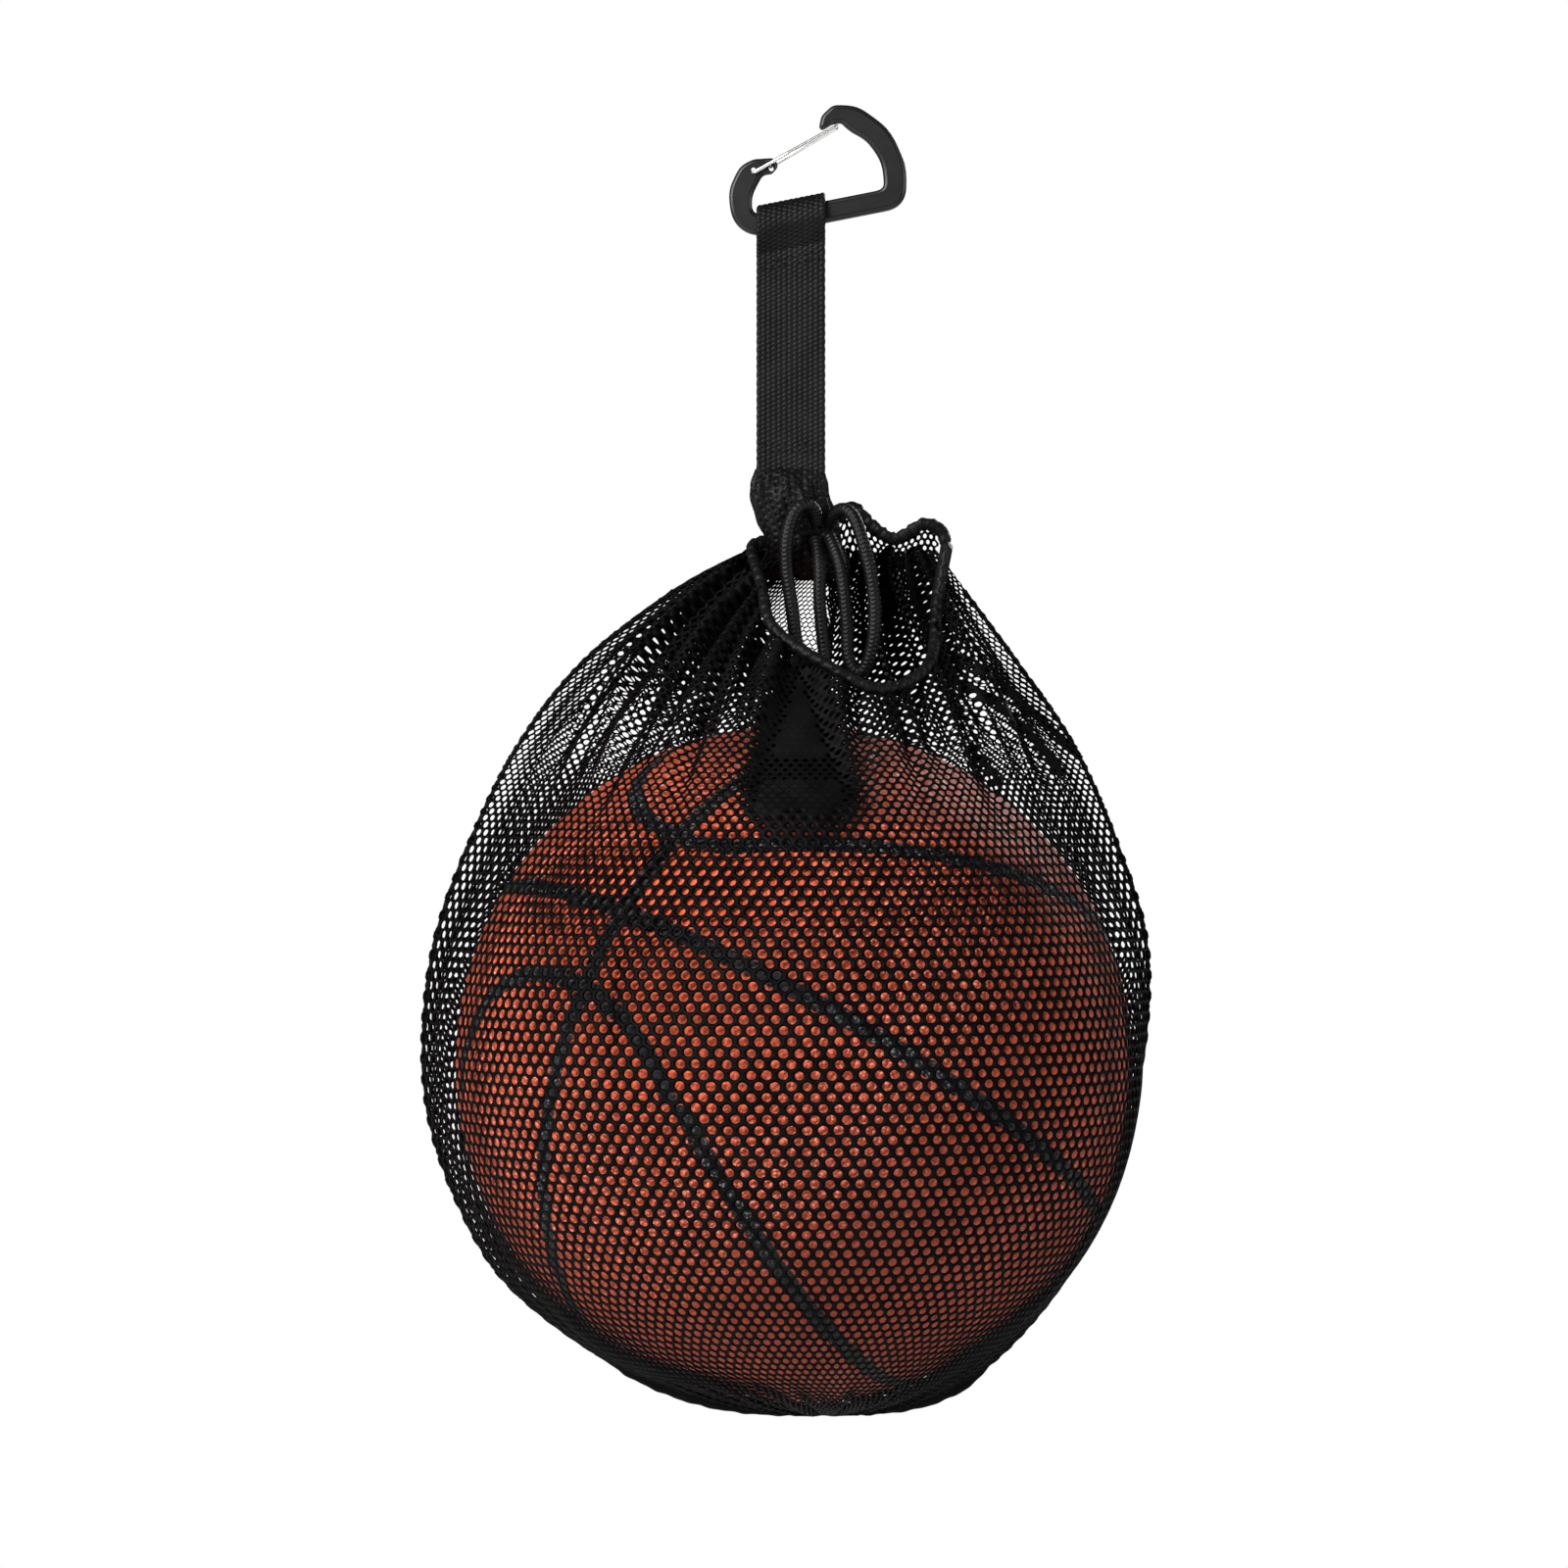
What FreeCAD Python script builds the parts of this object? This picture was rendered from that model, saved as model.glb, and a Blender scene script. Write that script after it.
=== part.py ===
import FreeCAD, Part
import math
import os

# Mesh ball bag: a net bag on a webbing strap that hangs from a wire-gate carabiner.
# Millimetres, +Z up, +X to the viewer's right, the front of the bag towards -Y.
# The origin is the hanging point, on the inner wall under the carabiner's crown.

Vector = FreeCAD.Vector

# Carabiner
BODY_DEPTH = 6.4            # front to back
BODY_EDGE_ROUND = 0.9
BAR_TILT = 11.2             # degrees, the long bar rises to the right
BAR_CENTRE_Z = -32.4        # height of the bar's centre line at the strap
# Corners of the body in elevation, each with its rounding radius, from the nose outwards and round
BODY_OUTLINE = [
    (-9.0, -1.9, 1.15), (-7.7, 4.2, 4.0), (-3.5, 8.2, 4.0), (5.25, 7.9, 12.0),
    (17.15, -0.7, 20.0), (22.75, -13.65, 16.0), (22.75, -28.1, 7.7), (-38.85, -40.25, 10.5),
    (-41.0, -22.4, 12.0), (-36.75, -13.65, 5.0), (-31.85, -11.2, 5.0), (-24.85, -10.85, 1.6),
    (-22.75, -13.3, 1.4), (-25.2, -16.1, 1.4), (-28.7, -16.8, 3.0), (-32.55, -24.15, 8.0),
    (-32.2, -31.25, 1.5), (14.9, -21.95, 1.5), (14.0, -11.9, 14.0), (8.4, -4.2, 10.0),
    (2.45, -1.05, 3.0), (-0.5, 1.9, 1.3), (-3.85, 1.4, 3.0),
]
WIRE_RADIUS = 0.7
WIRE_HOLE_CLEARANCE = 0.12
WIRE_BEND = 1.2
GATE_OPEN = 28.0            # degrees
FRONT_PIVOT = (-31.6, -16.1)
BACK_PIVOT = (-25.8, -13.3)
GATE_TIP = (-2.3, 0.35)
GATE_TIP_HALF_SPREAD = 2.6

# Webbing strap
WEBBING_WIDTH = 24.5
WEBBING_THICK = 2.2
STRAP_X = -18.55
STRAP_FOOT_Z = -124.0
PLY_GAP = 0.2
LOOP_INNER_RADIUS = 5.0
LOOP_CLOSE_DEPTH = 10.3     # below the bar's centre, where the two plies meet
LOOP_TO_PLY_GAP = 0.35

# Thread
THREAD_RADIUS = 0.45
STITCHES_PER_ROW = 9
STITCH_FILL = 0.78          # share of the pitch that the thread shows
STITCH_MARGIN = 1.5
STITCH_ROW_GAP = 2.4
HEAD_SEAM_DROP = 3.5        # below the place where the loop closes
FOOT_SEAM_HEIGHTS = [-113.0, -115.4, -120.6]

# Net bag: height, left edge, right edge and half depth of each level
LEVELS = [
    (-150.0, -33.0, 33.0, 16.0),
    (-165.0, -61.0, 44.0, 28.0),
    (-190.0, -93.0, 62.5, 47.0),
    (-220.0, -116.5, 83.0, 69.0),
    (-255.0, -134.0, 98.5, 94.0),
    (-290.0, -146.3, 109.0, 115.0),
    (-325.0, -150.5, 108.5, 123.5),
    (-355.0, -148.0, 101.5, 121.7),
    (-385.0, -137.5, 93.0, 112.5),
    (-412.0, -121.0, 79.0, 95.7),
    (-436.0, -91.0, 59.0, 69.6),
    (-450.0, -62.0, 40.0, 42.0),
    (-457.0, -38.0, 22.0, 14.0),
    (-458.4, -26.0, 10.0, 3.2),
]
NET_THICK = 1.5
OVAL_STEPS = 12
SEAM_WIDTH = 3.6
SEAM_THICK = 2.2
SEAM_SLOT = 1.25            # half of the gap between the panels, which the seams fill
BINDING_LINE = [
    (-62.0, -451.0), (-38.0, -457.4), (-8.0, -457.8), (22.0, -457.2), (41.0, -450.6),
]

# Bunched net at the neck: height, half width, half depth and how far back each level sits
NECK_LEVELS = [
    (STRAP_FOOT_Z - 0.35, 12.5, 5.0, 0.0), (-131.0, 13.4, 7.0, 2.0),
    (-138.0, 13.2, 8.0, 4.0), (-149.6, 13.3, 7.5, 7.0),
]

# Mouth
MOUTH_ROUND = 6.0
HEM_PROUD = 1.0             # of the net's surface
HEM_RADIUS = 3.0
HEM_BORE_RADIUS = 2.55
CORD_RADIUS = 2.4
RUFFLE_THICK = 1.6
RUFFLE_FRONT_Y = 12.6
RUFFLE_OUTLINE = [
    (-4.8, -149.9), (-4.8, -141.5), (-1.5, -143.0), (3.4, -138.4), (10.5, -145.2),
    (19.0, -149.3), (28.5, -144.6), (31.0, -149.9),
]
# Lower edge of the mouth in the front panel, left to right
FRONT_MOUTH = [
    (-42.0, -154.0), (-29.0, -166.0), (-25.0, -181.0), (-9.0, -193.0),
    (12.0, -203.0), (30.0, -194.0), (33.5, -170.0), (36.0, -156.0),
]
FRONT_HEM_START = (-33.5, -10.0, -152.5)
FRONT_HEM_END = (36.5, -7.0, -152.0)
# The back hem goes up over a bump, down into a valley and up to the flared tip
BACK_HEM = [
    (-1.8, 14.0, -139.5), (3.5, 14.5, -134.6), (11.0, 14.0, -141.5), (19.0, 13.0, -146.0),
    (29.0, 11.0, -141.0), (35.0, 3.5, -143.5), (36.6, -3.2, -147.8),
]
# The two slack bights of the drawcord, each down from the neck and up again
LOOP_LEFT = [
    (-9.0, -4.5, -141.0), (-10.0, -8.5, -134.5), (-17.0, -11.5, -135.5), (-20.5, -12.5, -147.0),
    (-20.0, -12.5, -160.0), (-18.0, -13.5, -173.0), (-16.5, -15.5, -186.0), (-12.5, -15.0, -196.5),
    (-6.0, -13.5, -193.0), (-7.5, -12.0, -181.0), (-8.5, -11.0, -168.0), (-8.0, -10.0, -155.0),
    (-9.8, -4.0, -147.0),
]
LOOP_RIGHT = [
    (-6.0, 0.0, -141.5), (-2.0, -5.5, -135.5), (3.5, -10.5, -137.5), (7.0, -14.0, -148.0),
    (10.0, -15.5, -160.0), (11.5, -16.5, -173.0), (10.5, -17.0, -186.0), (6.5, -16.0, -196.5),
    (1.5, -14.5, -191.0), (1.5, -13.0, -179.0), (0.5, -12.0, -166.0), (-1.5, -10.0, -153.0),
    (-4.9, -3.0, -146.0),
]


def tangent_path(corners, radii=None):
    """Straight runs through the corners, joined by tangent arcs.

    With no radii given, each arc is as large as its two runs allow.
    """
    edges = []
    start = corners[0]
    used = []
    for index in range(1, len(corners) - 1):
        corner = corners[index]
        into = corner - corners[index - 1]
        away = corners[index + 1] - corner
        shorter = min(into.Length, away.Length)
        into.normalize()
        away.normalize()
        half_turn = into.getAngle(away) / 2
        if radii:
            radius = radii[index - 1]
        else:
            radius = 0.45 * shorter / math.tan(half_turn)
        used.append(radius)
        reach = radius * math.tan(half_turn)
        inward = away - into
        inward.normalize()
        arc_start = corner - into * reach
        arc_end = corner + away * reach
        arc_middle = corner + inward * (radius / math.cos(half_turn) - radius)
        edges.append(Part.LineSegment(start, arc_start).toShape())
        edges.append(Part.Arc(arc_start, arc_middle, arc_end).toShape())
        start = arc_end
    edges.append(Part.LineSegment(start, corners[-1]).toShape())
    return Part.Wire(edges), used


def outline_face(corners, radii):
    """A flat face whose corners are rounded; it starts half way along the last side."""
    first = (corners[0] + corners[-1]) * 0.5
    wire, _ = tangent_path([first] + corners + [first], radii)
    return Part.Face(wire)


def round_tube(path, radius):
    """A round bar of the given radius along a path of lines and arcs."""
    first = path.OrderedEdges[0]
    start = first.valueAt(first.FirstParameter)
    along = first.tangentAt(first.FirstParameter)
    ring = Part.Wire([Part.makeCircle(radius, start, along)])
    return path.makePipeShell([ring], True, False)


def flat_strip(path, width, thick, width_axis):
    """A strip of rectangular section along a planar path."""
    first = path.OrderedEdges[0]
    start = first.valueAt(first.FirstParameter)
    across = Vector(width_axis) * (width / 2)
    along = first.tangentAt(first.FirstParameter)
    through = along.cross(Vector(width_axis))
    through.normalize()
    through = through * (thick / 2)
    corners = [start - across - through, start + across - through,
               start + across + through, start - across + through]
    ring = Part.makePolygon(corners + [corners[0]])
    return path.makePipeShell([ring], True, False)


def box_between(low, high):
    """A box from its lowest corner to its highest."""
    size = Vector(high) - Vector(low)
    return Part.makeBox(size.x, size.y, size.z, Vector(low))


def joined(shapes):
    """Separate solids kept side by side in one sub-part."""
    return Part.makeCompound(shapes)


def in_plane(x, z, y=0.0):
    """A point of the front elevation, at depth y."""
    return Vector(x, y, z)


def bar_height(x):
    """Height of the long bar's centre line at x."""
    return BAR_CENTRE_Z + (x - STRAP_X) * math.tan(math.radians(BAR_TILT))


# ---------------------------------------------------------------- carabiner

def gate_axis_point():
    """The gate turns about a line half way between its two offset pivot holes."""
    x = (FRONT_PIVOT[0] + BACK_PIVOT[0]) / 2
    z = (FRONT_PIVOT[1] + BACK_PIVOT[1]) / 2
    return Vector(x, 0, z)


def pivot_slot(pivot):
    """The oblong hole in which a sprung wire end rocks as the gate opens."""
    half = BODY_DEPTH / 2 + 1
    radius = WIRE_RADIUS + WIRE_HOLE_CLEARANCE
    closed = Vector(pivot[0], 0, pivot[1])
    turn = FreeCAD.Rotation(Vector(0, 1, 0), GATE_OPEN)
    centre = gate_axis_point()
    opened = centre + turn.multVec(closed - centre)
    along = opened - closed
    ends = []
    for place in (closed, opened):
        ends.append(Part.makeCylinder(radius, 2 * half, place - Vector(0, half, 0), Vector(0, 1, 0)))
    side = along.cross(Vector(0, 1, 0))
    side.normalize()
    side = side * radius
    corners = [closed - side, opened - side, opened + side, closed + side]
    middle = Part.Face(Part.makePolygon(corners + [corners[0]]))
    middle.translate(Vector(0, -half, 0))
    return ends[0].fuse([ends[1], middle.extrude(Vector(0, 2 * half, 0))])


def carabiner_body():
    """The forged C: beak nose, broad crown, long straight bar and hooked pivot end."""
    corners = [in_plane(x, z, -BODY_DEPTH / 2) for x, z, _ in BODY_OUTLINE]
    face = outline_face(corners, [radius for _, _, radius in BODY_OUTLINE])
    solid = face.extrude(Vector(0, BODY_DEPTH, 0))
    rims = []
    for edge in solid.Edges:
        box = edge.BoundBox
        if box.YLength < 0.01:
            rims.append(edge)
    solid = solid.makeFillet(BODY_EDGE_ROUND, rims)
    return solid.cut([pivot_slot(FRONT_PIVOT), pivot_slot(BACK_PIVOT)])


def carabiner_gate():
    """One sprung wire: a pin, a leg, the closed tip, the other leg and its pin."""
    clear = BODY_DEPTH / 2 + WIRE_RADIUS + 0.3
    past_hook_x = -20.0

    def on_leg(pivot, x, y):
        rise = (GATE_TIP[1] - pivot[1]) / (GATE_TIP[0] - pivot[0])
        return Vector(x, y, pivot[1] + (x - pivot[0]) * rise)

    corners = [
        Vector(FRONT_PIVOT[0], -0.8, FRONT_PIVOT[1]),
        Vector(FRONT_PIVOT[0], -clear, FRONT_PIVOT[1]),
        on_leg(FRONT_PIVOT, past_hook_x, -clear),
        Vector(GATE_TIP[0], -GATE_TIP_HALF_SPREAD, GATE_TIP[1]),
        Vector(GATE_TIP[0], GATE_TIP_HALF_SPREAD, GATE_TIP[1]),
        on_leg(BACK_PIVOT, past_hook_x, clear),
        Vector(BACK_PIVOT[0], clear, BACK_PIVOT[1]),
        Vector(BACK_PIVOT[0], -1.6, BACK_PIVOT[1]),
    ]
    radii = [WIRE_BEND, 20.0, WIRE_BEND, WIRE_BEND, 20.0, WIRE_BEND]
    path, _ = tangent_path(corners, radii)
    return round_tube(path, WIRE_RADIUS)


# ---------------------------------------------------------------- strap

def tangent_touch(point_y, point_z, radius):
    """Where the line from a point below touches a circle about the bar's centre."""
    distance = math.hypot(point_y, point_z)
    to_point = math.atan2(point_z, point_y)
    turn = math.acos(radius / distance)
    return radius * math.cos(to_point + turn), radius * math.sin(to_point + turn)


def strap_loop():
    """Webbing over the bar, closed where its two plies meet; cut square to the strap."""
    outer = LOOP_INNER_RADIUS + WEBBING_THICK
    foot_in = PLY_GAP / 2
    foot_out = foot_in + WEBBING_THICK
    out_y, out_z = tangent_touch(foot_out, -LOOP_CLOSE_DEPTH, outer)
    in_y, in_z = tangent_touch(foot_in, -LOOP_CLOSE_DEPTH, LOOP_INNER_RADIUS)
    x = STRAP_X - WEBBING_WIDTH / 2
    base = bar_height(x)

    def at(y, z):
        return Vector(x, y, base + z)

    edges = [
        Part.LineSegment(at(foot_out, -LOOP_CLOSE_DEPTH), at(out_y, out_z)),
        Part.Arc(at(out_y, out_z), at(0, outer), at(-out_y, out_z)),
        Part.LineSegment(at(-out_y, out_z), at(-foot_out, -LOOP_CLOSE_DEPTH)),
        Part.LineSegment(at(-foot_out, -LOOP_CLOSE_DEPTH), at(-foot_in, -LOOP_CLOSE_DEPTH)),
        Part.LineSegment(at(-foot_in, -LOOP_CLOSE_DEPTH), at(-in_y, in_z)),
        Part.Arc(at(-in_y, in_z), at(0, LOOP_INNER_RADIUS), at(in_y, in_z)),
        Part.LineSegment(at(in_y, in_z), at(foot_in, -LOOP_CLOSE_DEPTH)),
        Part.LineSegment(at(foot_in, -LOOP_CLOSE_DEPTH), at(foot_out, -LOOP_CLOSE_DEPTH)),
    ]
    face = Part.Face(Part.Wire([edge.toShape() for edge in edges]))
    rise = WEBBING_WIDTH * math.tan(math.radians(BAR_TILT))
    return face.extrude(Vector(WEBBING_WIDTH, 0, rise))


def strap_ply(side):
    """One ply of the doubled webbing; its head is hollowed about the bar's centre line."""
    near = side * PLY_GAP / 2
    far = side * (PLY_GAP / 2 + WEBBING_THICK)
    low = (STRAP_X - WEBBING_WIDTH / 2, min(near, far), STRAP_FOOT_Z)
    high = (STRAP_X + WEBBING_WIDTH / 2, max(near, far), BAR_CENTRE_Z - LOOP_INNER_RADIUS)
    reach = math.hypot(LOOP_CLOSE_DEPTH, PLY_GAP / 2 + WEBBING_THICK) + LOOP_TO_PLY_GAP
    tilt = math.radians(BAR_TILT)
    axis = Vector(math.cos(tilt), 0, math.sin(tilt))
    centre = Vector(STRAP_X, 0, BAR_CENTRE_Z)
    half_length = 1.6 * WEBBING_WIDTH
    swept = Part.makeCylinder(reach, 2 * half_length, centre - axis * half_length, axis)
    return box_between(low, high).cut(swept)


def stitch_rows(heights, side, tilt_degrees):
    """Rows of short raised stitches across the strap, on one face of it."""
    face_y = side * (PLY_GAP / 2 + WEBBING_THICK)
    pitch = (WEBBING_WIDTH - 2 * STITCH_MARGIN) / STITCHES_PER_ROW
    length = pitch * STITCH_FILL
    slope = math.tan(math.radians(tilt_degrees))
    stitches = []
    for height in heights:
        for number in range(STITCHES_PER_ROW):
            x = STRAP_X - WEBBING_WIDTH / 2 + STITCH_MARGIN + pitch * (number + (1 - STITCH_FILL) / 2)
            z = height + (x - STRAP_X) * slope
            low = (x, min(face_y, face_y + side * THREAD_RADIUS), z - THREAD_RADIUS)
            high = (x + length, max(face_y, face_y + side * THREAD_RADIUS), z + THREAD_RADIUS)
            stitches.append(box_between(low, high))
    return stitches


def stitched_band(heights, tilt_degrees):
    """The thread of a seam that goes through both plies, as it shows on both faces."""
    return joined(stitch_rows(heights, -1, tilt_degrees) + stitch_rows(heights, 1, tilt_degrees))


# ---------------------------------------------------------------- net bag

def half_oval(z, left, right, depth, side, inset):
    """Half of an oval level, from its right edge to its left, drawn in by the inset."""
    middle = (left + right) / 2
    half_width = (right - left) / 2 - inset
    half_depth = depth - inset - SEAM_SLOT
    points = []
    for step in range(OVAL_STEPS + 1):
        angle = math.pi * step / OVAL_STEPS
        y = side * (SEAM_SLOT + half_depth * math.sin(angle))
        points.append(Vector(middle + half_width * math.cos(angle), y, z))
    curve = Part.BSplineCurve()
    curve.interpolate(points)
    return points[0], points[-1], curve.toShape()


def net_half(side):
    """The front or back panel: half of the bag's form as a thin wall, clear of the seams."""
    rings = []
    for z, left, right, depth in LEVELS:
        edge = SEAM_WIDTH
        outer_right, outer_left, outer = half_oval(z, left + edge, right - edge, depth, side, 0.0)
        inner_right, inner_left, inner = half_oval(z, left + edge, right - edge, depth, side, NET_THICK)
        left_end = Part.LineSegment(outer_left, inner_left).toShape()
        right_end = Part.LineSegment(inner_right, outer_right).toShape()
        rings.append(Part.Wire([outer, left_end, inner, right_end]))
    return Part.makeLoft(rings, True, False)


def mouth_cut():
    """The drooping front of the mouth, cut straight through the front panel."""
    before = -130.0             # in front of the deepest level
    behind = -2.0               # just in front of the back panel
    beside = 70.0
    above = -140.0
    corners = [in_plane(x, z, before) for x, z in FRONT_MOUTH]
    corners += [in_plane(beside, above, before), in_plane(-beside, above, before)]
    radii = [MOUTH_ROUND] * len(FRONT_MOUTH) + [1.0, 1.0]
    face = outline_face(corners, radii)
    return face.extrude(Vector(0, behind - before, 0))


def edge_strip(corners):
    """A seam that follows the bag's edge in the plane between the panels."""
    path, _ = tangent_path(corners)
    return flat_strip(path, SEAM_THICK, SEAM_WIDTH, (0, 1, 0))


def seam_points(column):
    """The edge of the bag down one side, from the shoulder to the bottom binding."""
    inward = 1 if column == 1 else -1
    inset = SEAM_WIDTH / 2
    return [in_plane(level[column] + inward * inset, level[0]) for level in LEVELS[1:11]]


def bottom_binding():
    """The bound seam along the bottom."""
    left = seam_points(1)[-1]
    right = seam_points(2)[-1]
    corners = [left + Vector(3.0, 0, -1.9)]
    corners += [in_plane(x, z) for x, z in BINDING_LINE]
    corners += [right + Vector(-3.0, 0, -2.0)]
    return edge_strip(corners)


# ---------------------------------------------------------------- mouth

def net_depth(x, z):
    """Depth of the net's surface at a place in the front elevation."""
    for upper, lower in zip(LEVELS, LEVELS[1:]):
        if lower[0] <= z <= upper[0]:
            share = (upper[0] - z) / (upper[0] - lower[0])
            left = upper[1] + (lower[1] - upper[1]) * share
            right = upper[2] + (lower[2] - upper[2]) * share
            depth = upper[3] + (lower[3] - upper[3]) * share
            across = (x - (left + right) / 2) / ((right - left) / 2)
            return depth * math.sqrt(max(0.0, 1 - across * across))
    return 0.0


def hem_front_corners():
    """The front hem, on the net's surface just above the cut edge."""
    corners = []
    for x, z in FRONT_MOUTH[1:-1]:
        corners.append(Vector(x, -net_depth(x, z) - HEM_PROUD, z + HEM_RADIUS))
    return [Vector(FRONT_HEM_START)] + corners + [Vector(FRONT_HEM_END)]


def hem_back_corners():
    """The back hem, level with the top of the gathered net."""
    return [Vector(point) for point in BACK_HEM]


def hem_tube(corners):
    """A sewn channel of cloth, hollow for the drawcord."""
    path, _ = tangent_path(corners)
    return round_tube(path, HEM_RADIUS).cut(round_tube(path, HEM_BORE_RADIUS))


def hem_cord(corners):
    """The drawcord inside a channel, a little short of its ends."""
    path, _ = tangent_path(corners)
    return round_tube(path, CORD_RADIUS)


def ruffle_back():
    """The gathered back edge of the net that stands above the cinch."""
    corners = [Vector(x, RUFFLE_FRONT_Y, z) for x, z in RUFFLE_OUTLINE]
    face = Part.Face(Part.makePolygon(corners + [corners[0]]))
    return face.extrude(Vector(0, RUFFLE_THICK, 0))


def neck_gather():
    """The net bunched round the foot of the strap and sewn to it."""
    rings = []
    for height, half_width, half_depth, shift in NECK_LEVELS:
        points = []
        for step in range(2 * OVAL_STEPS):
            angle = math.pi * step / OVAL_STEPS
            y = shift + half_depth * math.sin(angle)
            points.append(Vector(STRAP_X + half_width * math.cos(angle), y, height))
        curve = Part.BSplineCurve()
        curve.interpolate(points, PeriodicFlag=True)
        rings.append(Part.Wire([curve.toShape()]))
    return Part.makeLoft(rings, True, True)


def drawcord_loop(points):
    """A slack bight of the drawcord that hangs in the open mouth."""
    path, radii = tangent_path([Vector(point) for point in points])
    solid = round_tube(path, CORD_RADIUS)
    expected = math.pi * CORD_RADIUS ** 2 * path.Length
    print("  bend radii", [round(radius, 1) for radius in radii])
    print("  length", round(path.Length, 1), "volume share", round(solid.Volume / expected, 3))
    return solid


def make_parts():
    """Every sub-part by name."""
    head_row = BAR_CENTRE_Z - LOOP_CLOSE_DEPTH - HEAD_SEAM_DROP
    parts = {
        "carabiner_body": carabiner_body(),
        "carabiner_gate": carabiner_gate(),
        "strap_loop": strap_loop(),
        "strap_front_ply": strap_ply(-1),
        "strap_back_ply": strap_ply(1),
        "strap_head_stitching": stitched_band([head_row, head_row - STITCH_ROW_GAP], BAR_TILT),
        "strap_foot_stitching": stitched_band(FOOT_SEAM_HEIGHTS, 0.0),
        "neck_gather": neck_gather(),
        "net_front_panel": net_half(-1).cut(mouth_cut()),
        "net_back_panel": net_half(1),
        "side_seam_left": edge_strip(seam_points(1)),
        "side_seam_right": edge_strip(seam_points(2)),
        "bottom_binding": bottom_binding(),
        "hem_channel_front": hem_tube(hem_front_corners()),
        "hem_channel_back": hem_tube(hem_back_corners()),
        "drawcord_front_run": hem_cord(hem_front_corners()),
        "drawcord_back_run": hem_cord(hem_back_corners()),
        "ruffle_back": ruffle_back(),
        "drawcord_loop_left": drawcord_loop(LOOP_LEFT),
        "drawcord_loop_right": drawcord_loop(LOOP_RIGHT),
    }
    return parts


def main():
    os.makedirs("parts", exist_ok=True)
    for name, shape in make_parts().items():
        shape.exportStep("parts/" + name + ".step")
        print(name, "solids", len(shape.Solids), "valid", shape.isValid(), "volume", round(shape.Volume, 1))


main()
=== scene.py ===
import bpy
import math
import numpy as np
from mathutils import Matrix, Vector
from mathutils.geometry import tessellate_polygon


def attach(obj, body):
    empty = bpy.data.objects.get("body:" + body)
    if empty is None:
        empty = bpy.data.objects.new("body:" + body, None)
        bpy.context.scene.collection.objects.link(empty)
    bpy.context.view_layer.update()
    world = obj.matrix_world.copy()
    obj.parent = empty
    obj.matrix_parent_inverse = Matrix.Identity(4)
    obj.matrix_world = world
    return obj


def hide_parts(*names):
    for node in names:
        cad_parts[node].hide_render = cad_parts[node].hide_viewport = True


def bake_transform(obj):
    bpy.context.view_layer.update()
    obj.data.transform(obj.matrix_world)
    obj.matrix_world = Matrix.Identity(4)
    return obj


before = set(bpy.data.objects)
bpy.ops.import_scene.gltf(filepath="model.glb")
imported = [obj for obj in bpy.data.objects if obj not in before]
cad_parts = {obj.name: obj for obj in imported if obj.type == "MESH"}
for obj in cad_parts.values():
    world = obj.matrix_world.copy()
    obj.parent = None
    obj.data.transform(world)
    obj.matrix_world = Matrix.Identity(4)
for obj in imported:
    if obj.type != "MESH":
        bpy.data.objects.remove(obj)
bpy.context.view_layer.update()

MM = 0.001

# ------------------------------------------------------------------ camera and light

CAMERA_DISTANCE = 2.1
FRAME_WIDTH = 0.56          # what the camera takes in at the bag's middle plane
VIEW_CENTRE = Vector((-0.021, 0.0, -0.2342))
SENSOR = 36.0
AMBIENT = 0.13               # the soft light of a pale studio, less than its white backdrop


def add_camera():
    data = bpy.data.cameras.new("camera")
    data.sensor_width = SENSOR
    data.lens = SENSOR * CAMERA_DISTANCE / FRAME_WIDTH
    data.clip_end = 20.0
    camera = bpy.data.objects.new("camera", data)
    camera.location = VIEW_CENTRE + Vector((0, -CAMERA_DISTANCE, 0))
    camera.rotation_euler = (math.radians(90), 0, 0)
    bpy.context.scene.collection.objects.link(camera)
    bpy.context.scene.camera = camera


def add_area_light(name, place, target, size, power, colour=(1, 1, 1)):
    data = bpy.data.lights.new(name, "AREA")
    data.size = size
    data.energy = power
    data.color = colour
    light = bpy.data.objects.new(name, data)
    light.location = place
    light.rotation_euler = (Vector(target) - Vector(place)).to_track_quat("-Z", "Y").to_euler()
    bpy.context.scene.collection.objects.link(light)


def add_world():
    world = bpy.data.worlds.new("studio")
    world.use_nodes = True
    tree = world.node_tree
    backdrop = tree.nodes["Background"]
    backdrop.inputs["Color"].default_value = (1, 1, 1, 1)
    ambient = tree.nodes.new("ShaderNodeBackground")
    ambient.inputs["Color"].default_value = (1, 1, 1, 1)
    ambient.inputs["Strength"].default_value = AMBIENT
    path = tree.nodes.new("ShaderNodeLightPath")
    mix = tree.nodes.new("ShaderNodeMixShader")
    tree.links.new(path.outputs["Is Camera Ray"], mix.inputs["Fac"])
    tree.links.new(ambient.outputs["Background"], mix.inputs[1])
    tree.links.new(backdrop.outputs["Background"], mix.inputs[2])
    tree.links.new(mix.outputs["Shader"], tree.nodes["World Output"].inputs["Surface"])
    bpy.context.scene.world = world


add_camera()
add_world()
add_area_light("key", (-0.9, -1.3, 0.75), (-0.02, 0, -0.28), 0.8, 70.0, (1.0, 0.98, 0.95))
add_area_light("left", (-1.5, -0.9, 0.2), (-0.06, 0, -0.27), 0.5, 36.0, (1.0, 0.98, 0.96))
add_area_light("side", (1.3, -0.7, 0.1), (-0.02, 0, -0.25), 0.6, 14.0, (0.94, 0.97, 1.0))
add_area_light("back", (0.9, 1.5, 0.6), (-0.02, 0, -0.28), 0.8, 20.0)
bpy.context.scene.view_settings.view_transform = "Standard"

# ------------------------------------------------------------------ drawcord loops

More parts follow.
